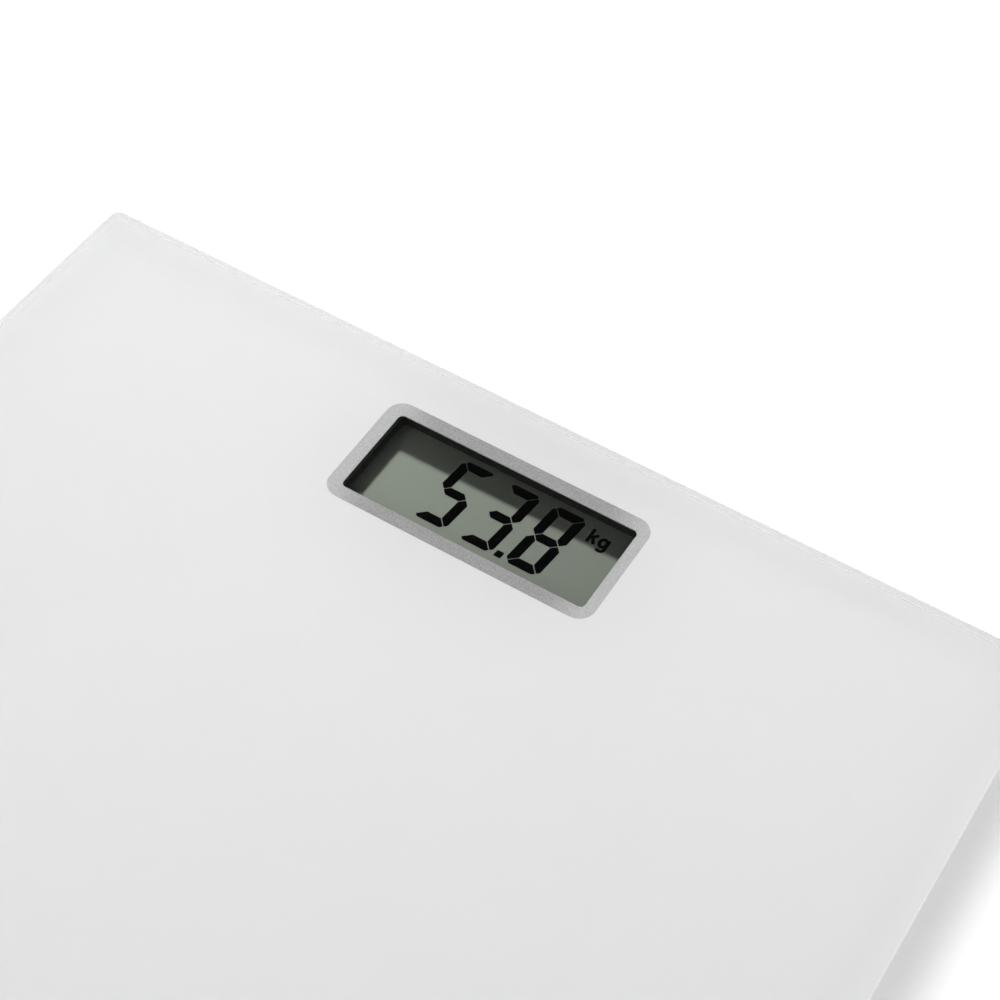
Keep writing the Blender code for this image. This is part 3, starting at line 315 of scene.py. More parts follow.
def silver_ink(name, shade):
    """Printed silver ink: metal flake in a clear binder, with a painted sheen that brightens the
    border towards its ends.
    """
    finish = Finish(name)
    flake = finish.noise(1700, detail=2, roughness=0.8).ramp(0.3, 0.7)
    across = finish.along("X")
    # Painted sheen: the ink is lighter towards the border's left and right ends, standing in for
    # reflected light.
    painted_sheen = (across * across).ramp(SHEEN_START ** 2, SHEEN_FULL ** 2)
    dull = finish.mix(flake, scaled(shade, 0.84), scaled(shade, 1.16))
    sheen_shade = finish.mix(flake, scaled(shade, 1.26), scaled(shade, 1.58))
    return finish.shade({
        "Base Color": finish.mix(painted_sheen, dull, sheen_shade),
        "Metallic": 0.15,
        "Roughness": 0.42 + flake * 0.12,
    })


def moulded_plastic(name, shade, roughness):
    """Injection-moulded plastic with a spark-eroded grain and slight flow shading."""
    finish = Finish(name)
    flow = finish.noise(22, detail=3, roughness=0.55)
    grains = finish.noise(2600, detail=3, roughness=0.6)
    tone = flow * 0.7 + grains * 0.3
    return finish.shade({
        "Base Color": finish.mix(tone, scaled(shade, 0.95), scaled(shade, 1.04)),
        "Roughness": roughness + (flow - 0.5) * 0.08 + (grains - 0.5) * 0.14,
        "Normal": finish.bump(grains, 0.02 * MM, 0.6),
    })


def matt_plastic(name, shade):
    """Black plastic, sparked dull so that the display's surround throws no glints."""
    finish = Finish(name)
    grains = finish.noise(3200, detail=3, roughness=0.6)
    return finish.shade({
        "Base Color": finish.mix(grains, scaled(shade, 0.85), scaled(shade, 1.15)),
        "Roughness": 0.72 + grains * 0.2,
        "Specular IOR Level": 0.12,
        "Normal": finish.bump(grains, 0.02 * MM, 0.5),
    })


def soft_rubber(name, shade):
    """Matt moulded rubber with a little dust in its grain."""
    finish = Finish(name)
    grains = finish.noise(1900, detail=4, roughness=0.65)
    dust = finish.noise(140, detail=4, roughness=0.7).ramp(0.52, 0.75)
    return finish.shade({
        "Base Color": finish.mix(dust * 0.5, shade, scaled(shade, 1.9)),
        "Roughness": 0.78 + grains * 0.16,
        "Normal": finish.bump(grains, 0.04 * MM, 0.7),
    })


def foam_tape(name, shade):
    """Closed-cell foam: small round pores in a matt skin."""
    finish = Finish(name)
    pores = finish.cells(1500).ramp(0.05, 0.4)
    return finish.shade({
        "Base Color": finish.mix(pores, scaled(shade, 0.72), shade),
        "Roughness": 0.88 + finish.noise(700) * 0.1,
        "Normal": finish.bump(pores, 0.08 * MM, 0.6),
    })


def plated_steel(name, shade, across=(1, 1, 14)):
    """Bright zinc or nickel plate over rolled steel, with faint rolling lines and cloudy spots."""
    finish = Finish(name)
    lines = finish.noise(420, detail=3, roughness=0.6, stretch=across)
    clouds = finish.noise(160, detail=4, roughness=0.6)
    return finish.shade({
        "Base Color": finish.mix(clouds, scaled(shade, 0.88), scaled(shade, 1.06)),
        "Metallic": 1.0,
        "Roughness": 0.2 + lines * 0.16 + clouds.ramp(0.5, 0.8) * 0.1,
        "Normal": finish.bump(lines, 0.01 * MM, 0.5),
    })


def silicone(name, shade):
    """Silicone smeared over the strain gauges."""
    finish = Finish(name)
    ripple = finish.noise(260, detail=3)
    return finish.shade({
        "Base Color": finish.mix(ripple, scaled(shade, 0.94), shade),
        "Roughness": 0.42 + ripple * 0.2,
        "Subsurface Weight": 0.15,
        "Subsurface Radius": (2 * MM, 2 * MM, 1.5 * MM),
        "Normal": finish.bump(ripple, 0.15 * MM, 0.5),
    })


def display_film(name, shade, left, right):
    """The grey-green polariser over its reflector, with painted light that is strongest on the left
    and falls off to the right, and a fine matt sparkle.
    """
    finish = Finish(name)
    sparkle = finish.noise(5200, detail=1)
    # Painted light: the film is lighter on the left and darker on the right, as light falling off
    # across it.
    painted_falloff = finish.along("X").ramp(left, right)
    fine = finish.mix(sparkle, scaled(shade, 1.1), scaled(shade, 1.16))
    return finish.shade({
        "Base Color": finish.mix(painted_falloff, fine, scaled(shade, 0.88)),
        "Roughness": 0.18 + sparkle * 0.06,
        "Specular IOR Level": 0.15,
        "Normal": finish.bump(sparkle, 0.002 * MM, 0.2),
    })


def liquid_crystal(name, shade):
    """A lit segment: near black, with the film's matt coat over it."""
    finish = Finish(name)
    sparkle = finish.noise(5200, detail=1)
    return finish.shade({
        "Base Color": finish.mix(sparkle, scaled(shade, 0.8), scaled(shade, 1.2)),
        "Roughness": 0.2 + sparkle * 0.05,
        "Specular IOR Level": 0.0,
    })


def thin_glass(name, tint):
    """The display's own glass, with a slight haze."""
    finish = Finish(name)
    haze = finish.noise(90, detail=3)
    finish.shade({
        "Base Color": tuple(tint),
        "Roughness": haze.ramp(0.4, 0.9) * 0.03,
        "Transmission Weight": 1.0,
        "IOR": 1.52,
    })
    finish.pass_lamp_light(tint)
    return finish.material


def reflector_foil(name, shade):
    """Brushed foil behind the display."""
    finish = Finish(name)
    grain = finish.noise(3000, detail=2, stretch=(1, 5, 1))
    return finish.shade({
        "Base Color": finish.mix(grain, scaled(shade, 0.9), shade),
        "Metallic": 0.9,
        "Roughness": 0.32 + grain * 0.12,
    })


def board_laminate(name, mask_shade, copper_shade):
    """Green solder mask over copper tracks, which stand out a little."""
    finish = Finish(name)
    tracks = (finish.along("X") + finish.noise(70, detail=0) * 0.004) % (2.4 * MM)
    rows = (finish.along("Y") + finish.noise(50, detail=0) * 0.003) % (5.2 * MM)
    track = (tracks < 0.5 * MM) * (rows > 0.9 * MM)
    weave = finish.noise(1500, detail=1, stretch=(1, 0.2, 1))
    covered = finish.mix(track, scaled(mask_shade, 0.8), scaled(copper_shade, 0.35))
    return finish.shade({
        "Base Color": finish.mix(weave * 0.25, covered, mask_shade),
        "Roughness": 0.26 + weave * 0.12,
        "Normal": finish.bump(track, 0.03 * MM, 0.6),
    })


def potting_epoxy(name, shade):
    """The black blob that covers the chip."""
    finish = Finish(name)
    sag = finish.noise(120, detail=2)
    return finish.shade({
        "Base Color": finish.mix(sag, shade, scaled(shade, 1.6)),
        "Roughness": 0.22 + sag * 0.14,
        "Normal": finish.bump(sag, 0.2 * MM, 0.4),
    })


def zebra_rubber(name, dark, pale, pitch):
    """Carbon and plain layers of silicone rubber, side by side along the strip."""
    finish = Finish(name)
    layer = (finish.along("X") % pitch) > pitch * 0.5
    grain = finish.noise(1800)
    return finish.shade({
        "Base Color": finish.mix(layer, dark, pale),
        "Roughness": 0.6 + grain * 0.2,
        "Normal": finish.bump(layer, 0.02 * MM, 0.3),
    })


def wire_sheath(name, shade):
    """Soft insulation with slight scuffs."""
    finish = Finish(name)
    scuff = finish.noise(500, detail=3)
    return finish.shade({
        "Base Color": finish.mix(scuff, scaled(shade, 0.9), scaled(shade, 1.08)),
        "Roughness": 0.36 + scuff * 0.2,
        "Normal": finish.bump(scuff, 0.02 * MM, 0.4),
    })


def light_table(name, shade, glow, far_glow):
    """Opal sheet of a light table, lit from below and most of all far out."""
    finish = Finish(name)
    drift = finish.noise(1.5, detail=3)
    across, along = finish.along("X"), finish.along("Y")
    far_out = (across * across + along * along).ramp(TABLE_NEAR ** 2, TABLE_FAR ** 2)
    return finish.shade({
        "Base Color": finish.mix(drift, scaled(shade, 0.99), shade),
        "Roughness": 0.75 + drift * 0.1,
        "Emission Color": finish.mix(far_out, [glow] * 3, [far_glow] * 3),
        "Emission Strength": 1.0,
        "Specular IOR Level": 0.1,
    })


# Shapes


def rounded(width, depth, radius, centre=(0, 0), steps=16):
    """The outline of a rectangle with round corners, anticlockwise."""
    points = []
    for corner in range(4):
        start = corner * math.pi / 2
        side_x = 1 if corner in (0, 3) else -1
        side_y = 1 if corner in (0, 1) else -1
        for step in range(steps + 1):
            angle = start + math.pi / 2 * step / steps
            x = side_x * (width / 2 - radius) + radius * math.cos(angle)
            y = side_y * (depth / 2 - radius) + radius * math.sin(angle)
            points.append((centre[0] + x, centre[1] + y))
    return points


def joined(name, form, finishes, place=(0, 0, 0)):
    """A shaded object from a finished bmesh."""
    bmesh.ops.recalc_face_normals(form, faces=form.faces)
    mesh = bpy.data.meshes.new(name)
    form.to_mesh(mesh)
    form.free()
    mesh.shade_smooth()
    mesh.set_sharp_from_angle(angle=SHARP_ANGLE)
    for finish in finishes:
        mesh.materials.append(finish)
    made = bpy.data.objects.new(name, mesh)
    made.location = place
    bpy.context.scene.collection.objects.link(made)
    return made


def skin(form, first, second, finish_index=0):
    """Faces between two loops of equal length."""
    for i in range(len(first)):
        j = (i + 1) % len(first)
        form.faces.new((first[i], first[j], second[j], second[i])).material_index = finish_index


def level_loop(form, outline, height):
    """A level ring of points."""
    return [form.verts.new((x, y, height)) for x, y in outline]


def turned(form, profile, steps=96):
    """A closed turned body from (radius, height) points that start and end on the axis."""
    angles = [2 * math.pi * step / steps for step in range(steps)]
    rings = []
    for radius, height in profile:
        turns = angles if radius > 0 else [0.0]
        around = [(radius * math.cos(turn), radius * math.sin(turn)) for turn in turns]
        rings.append(level_loop(form, around, height))
    for first, second in zip(rings, rings[1:]):
        for i in range(steps):
            j = (i + 1) % steps
            corners = [first[i % len(first)], first[j % len(first)]]
            corners += [second[j % len(second)], second[i % len(second)]]
            form.faces.new(list(dict.fromkeys(corners)))


def coat(finish, *nodes):
    """Gives CAD nodes their finish."""
    for name in nodes:
        for slot in frame["nodes"][name].material_slots:
            slot.material = finish


def each_corner(kind):
    return [f"{kind}_{corner}" for corner in CORNERS]


# Settings


def length(name, description, default):
    return bpy.props.FloatProperty(
        name=name, description=description, default=default, min=0, unit="LENGTH", precision=5
    )


def coordinate(name, description, default):
    return bpy.props.FloatProperty(
        name=name, description=description, default=default, unit="LENGTH", precision=5
    )


def angle(name, description, degrees):
    return bpy.props.FloatProperty(
        name=name, description=description, default=math.radians(degrees), subtype="ANGLE"
    )


def power(name, description, default):
    return bpy.props.FloatProperty(
        name=name, description=description, default=default, min=0, unit="POWER"
    )


def strength(name, description, default):
    return bpy.props.FloatProperty(
        name=name, description=description, default=default, min=0, subtype="FACTOR"
    )


def shade(name, description, default):
    return bpy.props.FloatVectorProperty(
        name=name, description=description, default=default, size=3, min=0, max=1, subtype="COLOR"
    )


class PlatformSettings(bpy.types.PropertyGroup):
    corner_radius: length("Corner radius", "Radius of the platform's corners in plan", 3.3 * MM)
    arris: length("Arris", "Width of the polished round along the glass's upper edges", 0.45 * MM)
    lower_arris: length("Lower arris", "Width of the printed round on its lower edges", 0.03 * MM)
    border_radius: length("Border radius", "Outer corner radius of the printed border", 5.1 * MM)
    window_radius: length("Window radius", "Corner radius of the clear window", 1.5 * MM)
    band_left: length("Left band", "Width of the printed border's left side", 4.2 * MM)
    band_right: length("Right band", "Width of the printed border's right side", 3.3 * MM)
    band_far: length("Far band", "Width of the printed border's far side", 4.4 * MM)
    band_near: length("Near band", "Width of the printed border's near side", 4.1 * MM)
    glass_tint: shade("Glass tint", "Tint of the glass", (0.985, 0.99, 0.987))
    enamel: shade("Enamel", "White ink on the back of the glass", (0.725, 0.725, 0.725))
    silver: shade("Silver ink", "Border round the window", (0.385, 0.385, 0.385))


class DisplaySettings(bpy.types.PropertyGroup):
    reading: bpy.props.StringProperty(
        name="Reading", description="Digits and point shown", default="53.8"
    )
    digit_height: length("Digit height", "Height of a digit", 23.85 * MM)
    digit_width: length("Digit width", "Width of a digit over its strokes", 10.36 * MM)
    digit_corner: length("Digit corner", "Cut across a digit's outer corners", 1.65 * MM)
    pitch: length("Digit pitch", "From one digit to the next", 14.5 * MM)
    stroke: length("Stroke", "Thickness of a segment", 2.88 * MM)
    gap: length("Segment gap", "Light line between segments", 0.26 * MM)
    slant: angle("Slant", "Lean of the digits", 5.7)
    point: length("Point", "Side of the decimal point", 2.15 * MM)
    right: length("Right side", "From the border's left side to the last digit's foot", 63.1 * MM)
    top: length("Top", "From the border's far side to the top of the digits", 5.5 * MM)
    unit_left: length("Unit's left", "From the border's left side to the unit", 67.85 * MM)
    unit_base: length("Unit's base", "From the border's far side to its base line", 11.7 * MM)
    unit_size: length("Unit size", "Height of the unit's k", 4.9 * MM)
    unit_stroke: length("Unit stroke", "Thickness of the unit's strokes", 0.92 * MM)
    film: shade("Film", "Colour of the display with nothing lit", (0.248, 0.271, 0.231))
    lit: shade("Lit segments", "Colour of the lit segments", (0.0006, 0.0006, 0.0006))
    shroud: shade("Shroud", "Black plastic round the display", (0.038, 0.041, 0.037))


class CaseSettings(bpy.types.PropertyGroup):
    white: shade("White plastic", "Tray and load-cell carriers", (0.74, 0.74, 0.735))
    grey: shade("Grey plastic", "Feet, button and battery cover", (0.42, 0.425, 0.43))
    rubber: shade("Rubber", "Foot pads", (0.05, 0.051, 0.053))
    tape: shade("Foam tape", "Tape between the pieces and the glass", (0.78, 0.78, 0.76))
    pad_grooves: bpy.props.IntProperty(
        name="Pad grooves", description="Round grooves in each foot's sole", default=3, min=0, max=6
    )
    groove_width: length("Groove width", "Width of a sole groove", 1.2 * MM)
    groove_depth: length("Groove depth", "Depth of a sole groove", 0.6 * MM)


class WorksSettings(bpy.types.PropertyGroup):
    steel: shade("Plated steel", "Load cells, screws and switch", (0.66, 0.66, 0.64))
    nickel: shade("Nickel", "Battery contacts and coin cell", (0.72, 0.71, 0.68))
    mask: shade("Solder mask", "Circuit board", (0.02, 0.16, 0.06))
    copper: shade("Copper", "Tracks under the solder mask", (0.75, 0.42, 0.22))


class StageSettings(bpy.types.PropertyGroup):
    camera_x: coordinate("Camera X", "Right of the platform's middle", 0.1858)
    camera_y: coordinate("Camera Y", "Beyond the platform's middle", -0.2147)
    camera_rise: length("Camera rise", "Above the platform's top", 0.4729)
    heading: angle("Heading", "Turn of the view to the left of +Y", 28.81)
    dip: angle("Dip", "Downward angle of the view", 51.23)
    roll: angle("Roll", "Roll of the camera", 3.456)
    lens: bpy.props.FloatProperty(
        name="Lens", description="Focal length in mm", default=81.58, min=1
    )
    spot_power: power("Spot", "Power of the low light that reaches into the display's well", 74)
    soft_power: power("Soft light", "Power of the large soft light overhead", 17.6)
    near_power: power("Near light", "Power of the soft light on the near left", 4.5)
    right_power: power("Right light", "Power of the soft light on the right", 3.2)
    glow: strength("Glow", "Strength of the light all round", 0.025)
    backdrop: strength("Backdrop", "Brightness of the room behind and the far floor", 0.85)
    floor: shade("Floor", "Colour of the floor", (0.93, 0.93, 0.93))
    floor_glow: strength("Floor glow", "Light from the floor itself, round the scale", 0.35)


def setting(name):
    """The user's settings for a piece or group."""
    return getattr(bpy.context.scene, f"scale_{name}")


# Pieces


class SCALE_OT_platform(bpy.types.Operator):
    """Build the glass platform with its fired prints"""

    bl_idname = "scale.platform"
    bl_label = "Glass platform"

    def execute(self, context):
        look = setting("platform")
        width = PLATE_HIGH.x - PLATE_LOW.x
        depth = PLATE_HIGH.y - PLATE_LOW.y
        middle = ((PLATE_HIGH.x + PLATE_LOW.x) / 2, (PLATE_HIGH.y + PLATE_LOW.y) / 2)
        form = bmesh.new()

        def edge_loop(inset, height):
            radius = look.corner_radius - min(inset, look.arris)
            outline = rounded(width - 2 * inset, depth - 2 * inset, radius, middle)
            return level_loop(form, outline, height)

        loops = []
        for step in range(ROUND_STEPS + 1):
            turn = math.pi / 2 * step / ROUND_STEPS
            inset = look.lower_arris * (1 - math.sin(turn))
            loops.append(edge_loop(inset, PLATE_LOW.z + look.lower_arris * (1 - math.cos(turn))))
        for step in range(ROUND_STEPS + 1):
            turn = math.pi / 2 * (1 - step / ROUND_STEPS)
            inset = look.arris * (1 - math.sin(turn))
            loops.append(edge_loop(inset, PLATE_HIGH.z - look.arris * (1 - math.cos(turn))))
        for step, (first, second) in enumerate(zip(loops, loops[1:])):
            skin(form, first, second, ENAMEL if step < ROUND_STEPS else EDGE)
        rest = edge_loop(look.arris * FLAT_START, PLATE_HIGH.z)
        skin(form, loops[-1], rest, GLASS)
        form.faces.new(rest)
        self.add_back(form, look, loops[0])
        finishes = (
            platform_glass(look.glass_tint),
            polished_edge_glass(scaled(look.glass_tint, 0.99)),
            fired_enamel("fired_white_enamel", look.enamel, 0.5, True, width / 2),
            silver_ink("fired_silver_border", look.silver),
        )
        plate = joined("glass_platform", form, finishes)
        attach(plate, BODY)
        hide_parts("glass_plate")
        enamel = fired_enamel("enamel_backing", scaled(look.enamel, 1.03), 0.4, False)
        coat(enamel, "white_back_print")
        coat(silver_ink("silver_backing", scaled(look.silver, 0.95)), "window_border")
        return {"FINISHED"}

    def add_back(self, form, look, outer):
        """The glass's back face: white enamel, the silver border and the clear window."""
        border_width = BORDER_HIGH.x - BORDER_LOW.x
        border_depth = BORDER_HIGH.y - BORDER_LOW.y
        centre = (BORDER_LOW + BORDER_HIGH) / 2
        shift = ((look.band_left - look.band_right) / 2, (look.band_near - look.band_far) / 2)
        window_width = border_width - look.band_left - look.band_right
        window_depth = border_depth - look.band_far - look.band_near
        border = rounded(border_width, border_depth, look.border_radius, centre)
        window_centre = (centre.x + shift[0], centre.y + shift[1])
        window = rounded(window_width, window_depth, look.window_radius, window_centre)
        border_loop = level_loop(form, border, PLATE_LOW.z)
        window_loop = level_loop(form, window, PLATE_LOW.z)
        skin(form, outer, border_loop, ENAMEL)
        skin(form, border_loop, window_loop, SILVER)
        form.faces.new(window_loop)


# Segments lit for each figure, with "a" at the top, on round to "f", and "g" in the middle
SEGMENTS = {
    "0": "abcdef", "1": "bc", "2": "abged", "3": "abgcd", "4": "fgbc",
    "5": "afgcd", "6": "afgedc", "7": "abc", "8": "abcdefg", "9": "abcdfg",
}


def segment_outlines(look):
    """The seven segments of an upright digit, each a polygon from its foot's left corner."""
    width, height = look.digit_width, look.digit_height
    stroke, corner = look.stroke, look.digit_corner
    half, middle = stroke / 2, height / 2
    shift = look.gap / math.sqrt(2)
    near_cut, far_cut = (corner - shift) / 2, (corner + shift) / 2
    top = [
        (far_cut, height - near_cut), (corner, height), (width - corner, height),
        (width - far_cut, height - near_cut), (width - stroke - shift, height - stroke),
        (stroke + shift, height - stroke),
    ]
    upper_left = [
        (near_cut, height - far_cut), (0, height - corner), (0, middle + shift + half),
        (half, middle + shift), (stroke, middle + shift + half), (stroke, height - stroke - shift),
    ]
    tip = half + shift
    bar = [
        (tip, middle), (tip + half, middle + half), (width - tip - half, middle + half),
        (width - tip, middle), (width - tip - half, middle - half), (tip + half, middle - half),
    ]
    upper_right = [(width - x, y) for x, y in upper_left]
    return {
        "a": top,
        "b": upper_right,
        "c": [(x, height - y) for x, y in upper_right],
        "d": [(x, height - y) for x, y in top],
        "e": [(x, height - y) for x, y in upper_left],
        "f": upper_left,
        "g": bar,
    }


def arc(centre, radii, start, end, steps):
    """Points of an ellipse's arc, with its angles in degrees."""
    points = []
    for step in range(steps + 1):
        turn = math.radians(start + (end - start) * step / steps)
        x, y = radii[0] * math.cos(turn), radii[1] * math.sin(turn)
        points.append((centre[0] + x, centre[1] + y))
    return points


def letter_strokes(letter):
    """Strokes of the unit's letters, each a line of points in units of the letter's height."""
    if letter == "k":
        return [[(0.08, 0), (0.08, 1)], [(0.5, 0.7), (0.13, 0.34)], [(0.24, 0.44), (0.48, 0.03)]]
    bowl = arc((0.28, 0.37), (0.21, 0.27), 0, 360, 24)
    hook = [(0.53, 0.7), (0.53, 0.02)] + arc((0.29, -0.02), (0.24, 0.2), 0, -140, 12)
    return [bowl, hook]


def add_slab(form, outline, low, high):
    """A flat piece of that outline between two heights."""
    lower, upper = level_loop(form, outline, low), level_loop(form, outline, high)
    form.faces.new(lower)
    form.faces.new(upper)
    skin(form, lower, upper)


def ribbon(points, width):
    """The outline of a line of constant width."""
    sides = ([], [])
    for i, point in enumerate(points):
        before, after = points[max(i - 1, 0)], points[min(i + 1, len(points) - 1)]
        along = Vector((after[0] - before[0], after[1] - before[1])).normalized() * width / 2
        sides[0].append((point[0] - along.y, point[1] + along.x))
        sides[1].append((point[0] + along.y, point[1] - along.x))
    return sides[0] + sides[1][::-1]


class SCALE_OT_display(bpy.types.Operator):
    """Build the lit segments and unit, and finish the display's layers and shroud"""

    bl_idname = "scale.display"
    bl_label = "Display"

    def execute(self, context):
        look = setting("display")
        lit = liquid_crystal("lit_segments", look.lit)
        self.add_digits(look, lit)
        self.add_unit(look, lit)
        coat(display_film("polariser_film", look.film, FILM_LOW.x, FILM_HIGH.x), "front_polariser")
        coat(matt_plastic("shroud_plastic", look.shroud), "lcd_shroud")
        coat(thin_glass("display_glass", (0.93, 0.96, 0.945)), "lcd_front_glass", "lcd_rear_glass")
        coat(reflector_foil("reflector_foil", (0.7, 0.71, 0.68)), "rear_reflector")
        zebra = zebra_rubber("zebra_rubber", (0.03, 0.03, 0.03), (0.75, 0.75, 0.72), 0.5 * MM)
        coat(zebra, "zebra_strip")
        return {"FINISHED"}

    def add_digits(self, look, lit):
        form = bmesh.new()
        foot = BORDER_HIGH.y - look.top - look.digit_height
        first = BORDER_LOW.x + look.right - look.digit_width
        first -= (sum(sign.isdigit() for sign in look.reading) - 1) * look.pitch
        outlines = segment_outlines(look)
        column = 0
        for sign in look.reading:
            left = first + column * look.pitch
            if sign == ".":
                centre = (left - (look.pitch - look.digit_width) / 2, look.point / 2)
                shapes = [rounded(look.point, look.point, look.point / 10, centre, 1)]
            else:
                shapes = [[(left + x, y) for x, y in outlines[key]] for key in SEGMENTS[sign]]
                column += 1
            for shape in shapes:
                leaning = [(x + y * math.tan(look.slant), foot + y) for x, y in shape]
                add_slab(form, leaning, LIT_LOW, LIT_HIGH)
        digits = joined("display_digits", form, [lit])
        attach(digits, BODY)

    def add_unit(self, look, lit):
        form = bmesh.new()
        base = BORDER_HIGH.y - look.unit_base
        left = BORDER_LOW.x + look.unit_left
        for letter in ("k", "g"):
            for points in letter_strokes(letter):
                line = [(x * look.unit_size, y * look.unit_size) for x, y in points]
                placed = [(left + x, base + y) for x, y in ribbon(line, look.unit_stroke)]
                add_slab(form, placed, LIT_LOW, LIT_HIGH)
            left += look.unit_size * LETTER_PITCH
        unit = joined("display_unit", form, [lit])
        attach(unit, BODY)


class SCALE_OT_tray(bpy.types.Operator):
    """Finish the tray, its tape and the load-cell carriers"""

    bl_idname = "scale.tray"
    bl_label = "Tray"

    def execute(self, context):
        look = setting("case")
        coat(moulded_plastic("tray_plastic", look.white, 0.46), "base_tray")
        carrier = moulded_plastic("carrier_plastic", scaled(look.white, 0.97), 0.5)
        coat(carrier, *each_corner("load_cell_carrier"))
        coat(foam_tape("foam_tape", look.tape), "rim_tape", *each_corner("carrier_tape"))
        return {"FINISHED"}


class SCALE_OT_feet(bpy.types.Operator):
    """Build the grooved foot pads and finish the plungers"""

    bl_idname = "scale.feet"
    bl_label = "Feet"

    def execute(self, context):
        look = setting("case")
        rubber = soft_rubber("foot_rubber", look.rubber)
        for corner in CORNERS:
            self.add_pad(look, corner, rubber)
        coat(moulded_plastic("plunger_plastic", look.grey, 0.5), *each_corner("foot_plunger"))
        return {"FINISHED"}

    def add_pad(self, look, corner, rubber):
        low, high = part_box(f"foot_pad_{corner}")
        radius = (high.x - low.x) / 2
        half = look.groove_width / 2
        lip, shoulder = look.groove_depth * 0.3, look.groove_depth * 0.6
        profile = [(0, 0)]
        for i in range(look.pad_grooves):
            share = i / max(1, look.pad_grooves - 1)
            middle = radius * (FIRST_GROOVE + GROOVE_SPREAD * share)
            profile += [
                (middle - half, 0), (middle - half + lip, shoulder), (middle, look.groove_depth),
                (middle + half - lip, shoulder), (middle + half, 0),
            ]
        for step in range(ROUND_STEPS + 1):
            turn = math.pi / 2 * step / ROUND_STEPS
            inset, rise = SOLE_ROUND * (1 - math.sin(turn)), SOLE_ROUND * (1 - math.cos(turn))
            profile.append((radius - inset, rise))
        profile += [
            (radius, PAD_TOP - PAD_CHAMFER), (radius - PAD_CHAMFER, PAD_TOP),
            (BOSS_RADIUS, PAD_TOP), (BOSS_RADIUS - BOSS_CHAMFER, high.z - BOSS_CHAMFER),
            (BOSS_RADIUS - 2 * BOSS_CHAMFER, high.z), (0, high.z),
        ]
        form = bmesh.new()
        turned(form, profile)
        centre = (low + high) / 2
        pad = joined(f"grooved_pad_{corner}", form, [rubber], (centre.x, centre.y, low.z))
        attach(pad, f"foot_{corner}")
        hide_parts(f"foot_pad_{corner}")


class SCALE_OT_load_cells(bpy.types.Operator):
    """Finish the load cells, their gauge covers and leads"""

    bl_idname = "scale.load_cells"
    bl_label = "Load cells"

    def execute(self, context):
        look = setting("works")
        coat(plated_steel("load_cell_steel", look.steel), *each_corner("load_cell"))
        coat(silicone("gauge_silicone", (0.83, 0.83, 0.8)), *each_corner("gauge_cover"))
        coat(wire_sheath("sensor_sheath", (0.72, 0.72, 0.7)), *each_corner("sensor_lead"))
        return {"FINISHED"}


class SCALE_OT_electronics(bpy.types.Operator):
    """Finish the board, its chip, screws and switch"""

    bl_idname = "scale.electronics"
    bl_label = "Board and switch"

    def execute(self, context):
        look = setting("works")
        coat(board_laminate("board_laminate", look.mask, look.copper), "circuit_board")
        coat(potting_epoxy("chip_epoxy", (0.012, 0.012, 0.012)), "chip_coating")
        steel = plated_steel("screw_steel", scaled(look.steel, 0.92), across=(1, 1, 1))
        coat(steel, "unit_switch", *[f"board_screw_{i}" for i in range(1, 5)])
        coat(moulded_plastic("plunger_black", (0.02, 0.02, 0.02), 0.4), "switch_plunger")
        return {"FINISHED"}


class SCALE_OT_battery(bpy.types.Operator):
    """Finish the coin cell, its contacts and leads, the cover and the unit button"""

    bl_idname = "scale.battery"
    bl_label = "Battery and button"

    def execute(self, context):
        look = setting("works")
        grey = moulded_plastic("cover_plastic", setting("case").grey, 0.48)
        coat(grey, "battery_cover", "unit_button")
        coat(plated_steel("coin_cell_can", look.nickel, across=(8, 1, 1)), "coin_cell")
        nickel = plated_steel("contact_nickel", look.nickel, across=(1, 6, 1))
        coat(nickel, "contact_negative", "contact_positive")
        coat(wire_sheath("red_sheath", (0.45, 0.015, 0.015)), "battery_lead_positive")
        coat(wire_sheath("black_sheath", (0.012, 0.012, 0.012)), "battery_lead_negative")
        return {"FINISHED"}


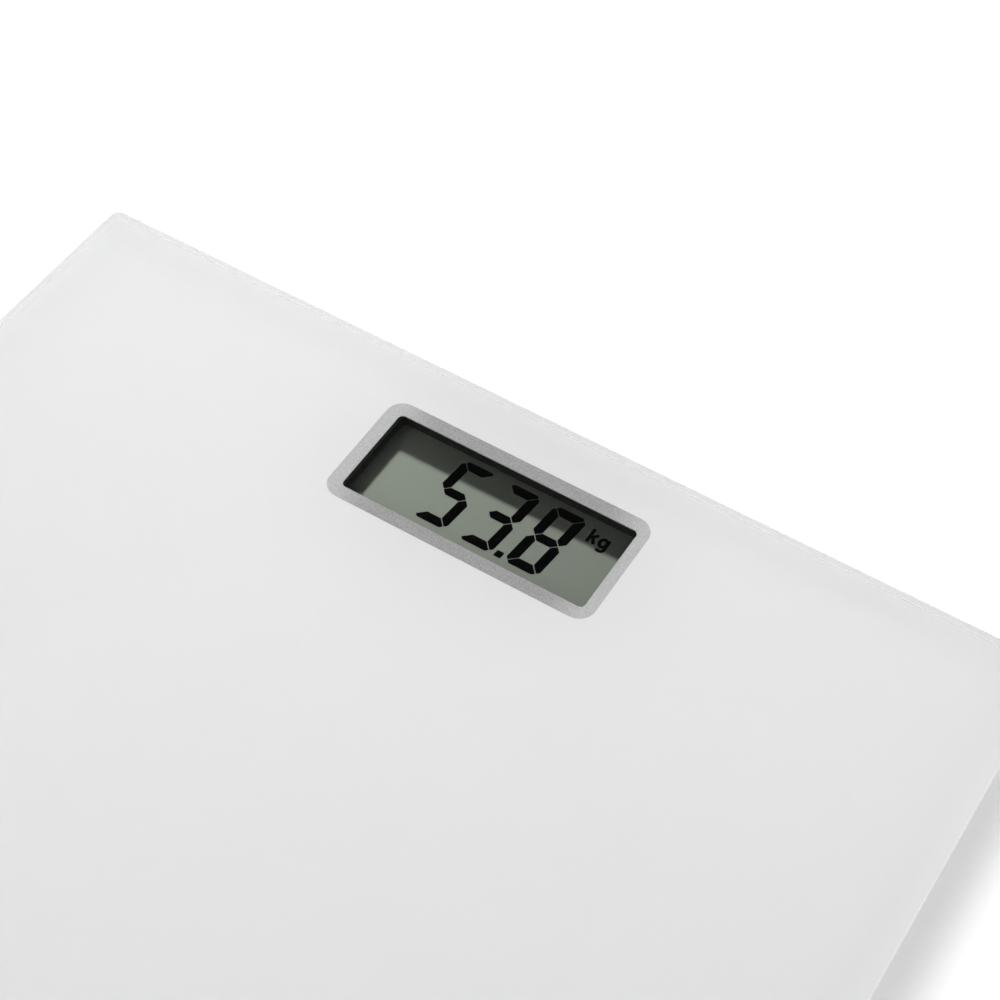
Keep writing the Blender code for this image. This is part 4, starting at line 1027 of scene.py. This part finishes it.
class SCALE_OT_stage(bpy.types.Operator):
    """Set the floor, the lights and the camera"""

    bl_idname = "scale.stage"
    bl_label = "Stage"

    def execute(self, context):
        look = setting("stage")
        self.add_floor(look)
        self.add_backdrop(look)
        self.add_lights(look)
        self.add_camera(look)
        context.scene.view_settings.view_transform = "Standard"
        return {"FINISHED"}

    def add_floor(self, look):
        form = bmesh.new()
        bmesh.ops.create_grid(form, x_segments=8, y_segments=8, size=FLOOR_HALF_SIDE)
        opal = light_table("light_table", look.floor, look.floor_glow, look.backdrop)
        floor = joined("floor", form, [opal], (0, 0, -FLOOR_DROP))

    def add_backdrop(self, look):
        """A pale room, seen and mirrored low down, that lends the object little light itself."""
        world = bpy.data.worlds.new("studio")
        world.use_nodes = True
        studio = Nodes(world.node_tree)
        path = studio.node("ShaderNodeLightPath").outputs
        direction = studio.node("ShaderNodeTexCoord").outputs["Generated"]
        parts = studio.node("ShaderNodeSeparateXYZ", {}, {0: direction}).outputs
        height = Signal(studio, parts["Z"])
        low_down = 1 - height.ramp(0.4, 0.6)
        mirrored = Signal(studio, path["Is Glossy Ray"]) * low_down * MIRROR_SHARE
        pale = Signal(studio, path["Is Camera Ray"]) + mirrored
        sky = world.node_tree.nodes["Background"]
        sky.inputs["Color"].default_value = (1, 1, 1, 1)
        studio.feed(sky.inputs["Strength"], look.glow + pale * (look.backdrop - look.glow))
        bpy.context.scene.world = world

    def add_lights(self, look):
        """A low spot lights the display's well, and two of the soft lights leave the well to it."""
        well, room = bpy.data.collections.new("well"), bpy.data.collections.new("room")
        for thing in bpy.context.scene.objects:
            if thing.type in {"MESH", "CURVE"}:
                (well if thing.name in WELL else room).objects.link(thing)
        # Name, direction from the platform's middle, distance, side, power, pieces that it lights
        lights = (
            ("spot", (-1.18, 2.17, 1.00), 2.0, 0.13, look.spot_power, well),
            ("soft", (-0.50, 0.80, 1.30), 1.3, 0.9, look.soft_power, room),
            ("near", (-0.6, -0.9, 0.65), 1.8, 0.7, look.near_power, None),
            ("right", (0.9, 0.1, 0.8), 1.8, 0.7, look.right_power, room),
        )
        for name, direction, distance, size, energy, lit_things in lights:
            towards = Vector(direction).normalized()
            lamp = bpy.data.lights.new(name, "AREA")
            lamp.shape = "SQUARE"
            lamp.size = size
            lamp.energy = energy
            light = bpy.data.objects.new(name, lamp)
            light.location = Vector((0, 0, PLATE_HIGH.z)) + towards * distance
            light.rotation_euler = towards.to_track_quat("Z", "Y").to_euler()
            if lit_things:
                light.light_linking.receiver_collection = lit_things
            light.visible_glossy = light.visible_transmission = False
            bpy.context.scene.collection.objects.link(light)

    def add_camera(self, look):
        lens = bpy.data.cameras.new("camera")
        lens.lens = look.lens
        lens.clip_start = 0.01
        camera = bpy.data.objects.new("camera", lens)
        heading = Matrix.Rotation(look.heading, 4, "Z")
        dip = Matrix.Rotation(math.pi / 2 - look.dip, 4, "X")
        roll = Matrix.Rotation(look.roll, 4, "Z")
        height = PLATE_HIGH.z + look.camera_rise
        place = Matrix.Translation((look.camera_x, look.camera_y, height))
        camera.matrix_world = place @ (heading @ dip @ roll)
        bpy.context.scene.collection.objects.link(camera)
        bpy.context.scene.camera = camera


class SCALE_PT_pieces(bpy.types.Panel):
    """Pieces of the scale, each with its operator"""

    bl_idname = "SCALE_PT_pieces"
    bl_label = "Bathroom scale"
    bl_space_type = "VIEW_3D"
    bl_region_type = "UI"
    bl_category = "Scale"

    def draw(self, context):
        for operator in OPERATORS:
            self.layout.operator(operator.bl_idname)
        for name in SETTINGS:
            box = self.layout.box()
            group = setting(name)
            for key in group.__annotations__:
                box.prop(group, key)


SETTINGS = {
    "platform": PlatformSettings,
    "display": DisplaySettings,
    "case": CaseSettings,
    "works": WorksSettings,
    "stage": StageSettings,
}
OPERATORS = (
    SCALE_OT_platform, SCALE_OT_display, SCALE_OT_tray, SCALE_OT_feet, SCALE_OT_load_cells,
    SCALE_OT_electronics, SCALE_OT_battery, SCALE_OT_stage,
)


def register():
    for kind in (*SETTINGS.values(), *OPERATORS, SCALE_PT_pieces):
        bpy.utils.register_class(kind)
    for name, kind in SETTINGS.items():
        setattr(bpy.types.Scene, f"scale_{name}", bpy.props.PointerProperty(type=kind))


def unregister():
    for name in SETTINGS:
        delattr(bpy.types.Scene, f"scale_{name}")
    for kind in reversed((*SETTINGS.values(), *OPERATORS, SCALE_PT_pieces)):
        bpy.utils.unregister_class(kind)


def main():
    register()
    bpy.ops.scale.platform()
    bpy.ops.scale.display()
    bpy.ops.scale.tray()
    bpy.ops.scale.feet()
    bpy.ops.scale.load_cells()
    bpy.ops.scale.electronics()
    bpy.ops.scale.battery()
    bpy.ops.scale.stage()


if __name__ == "__main__":
    main()
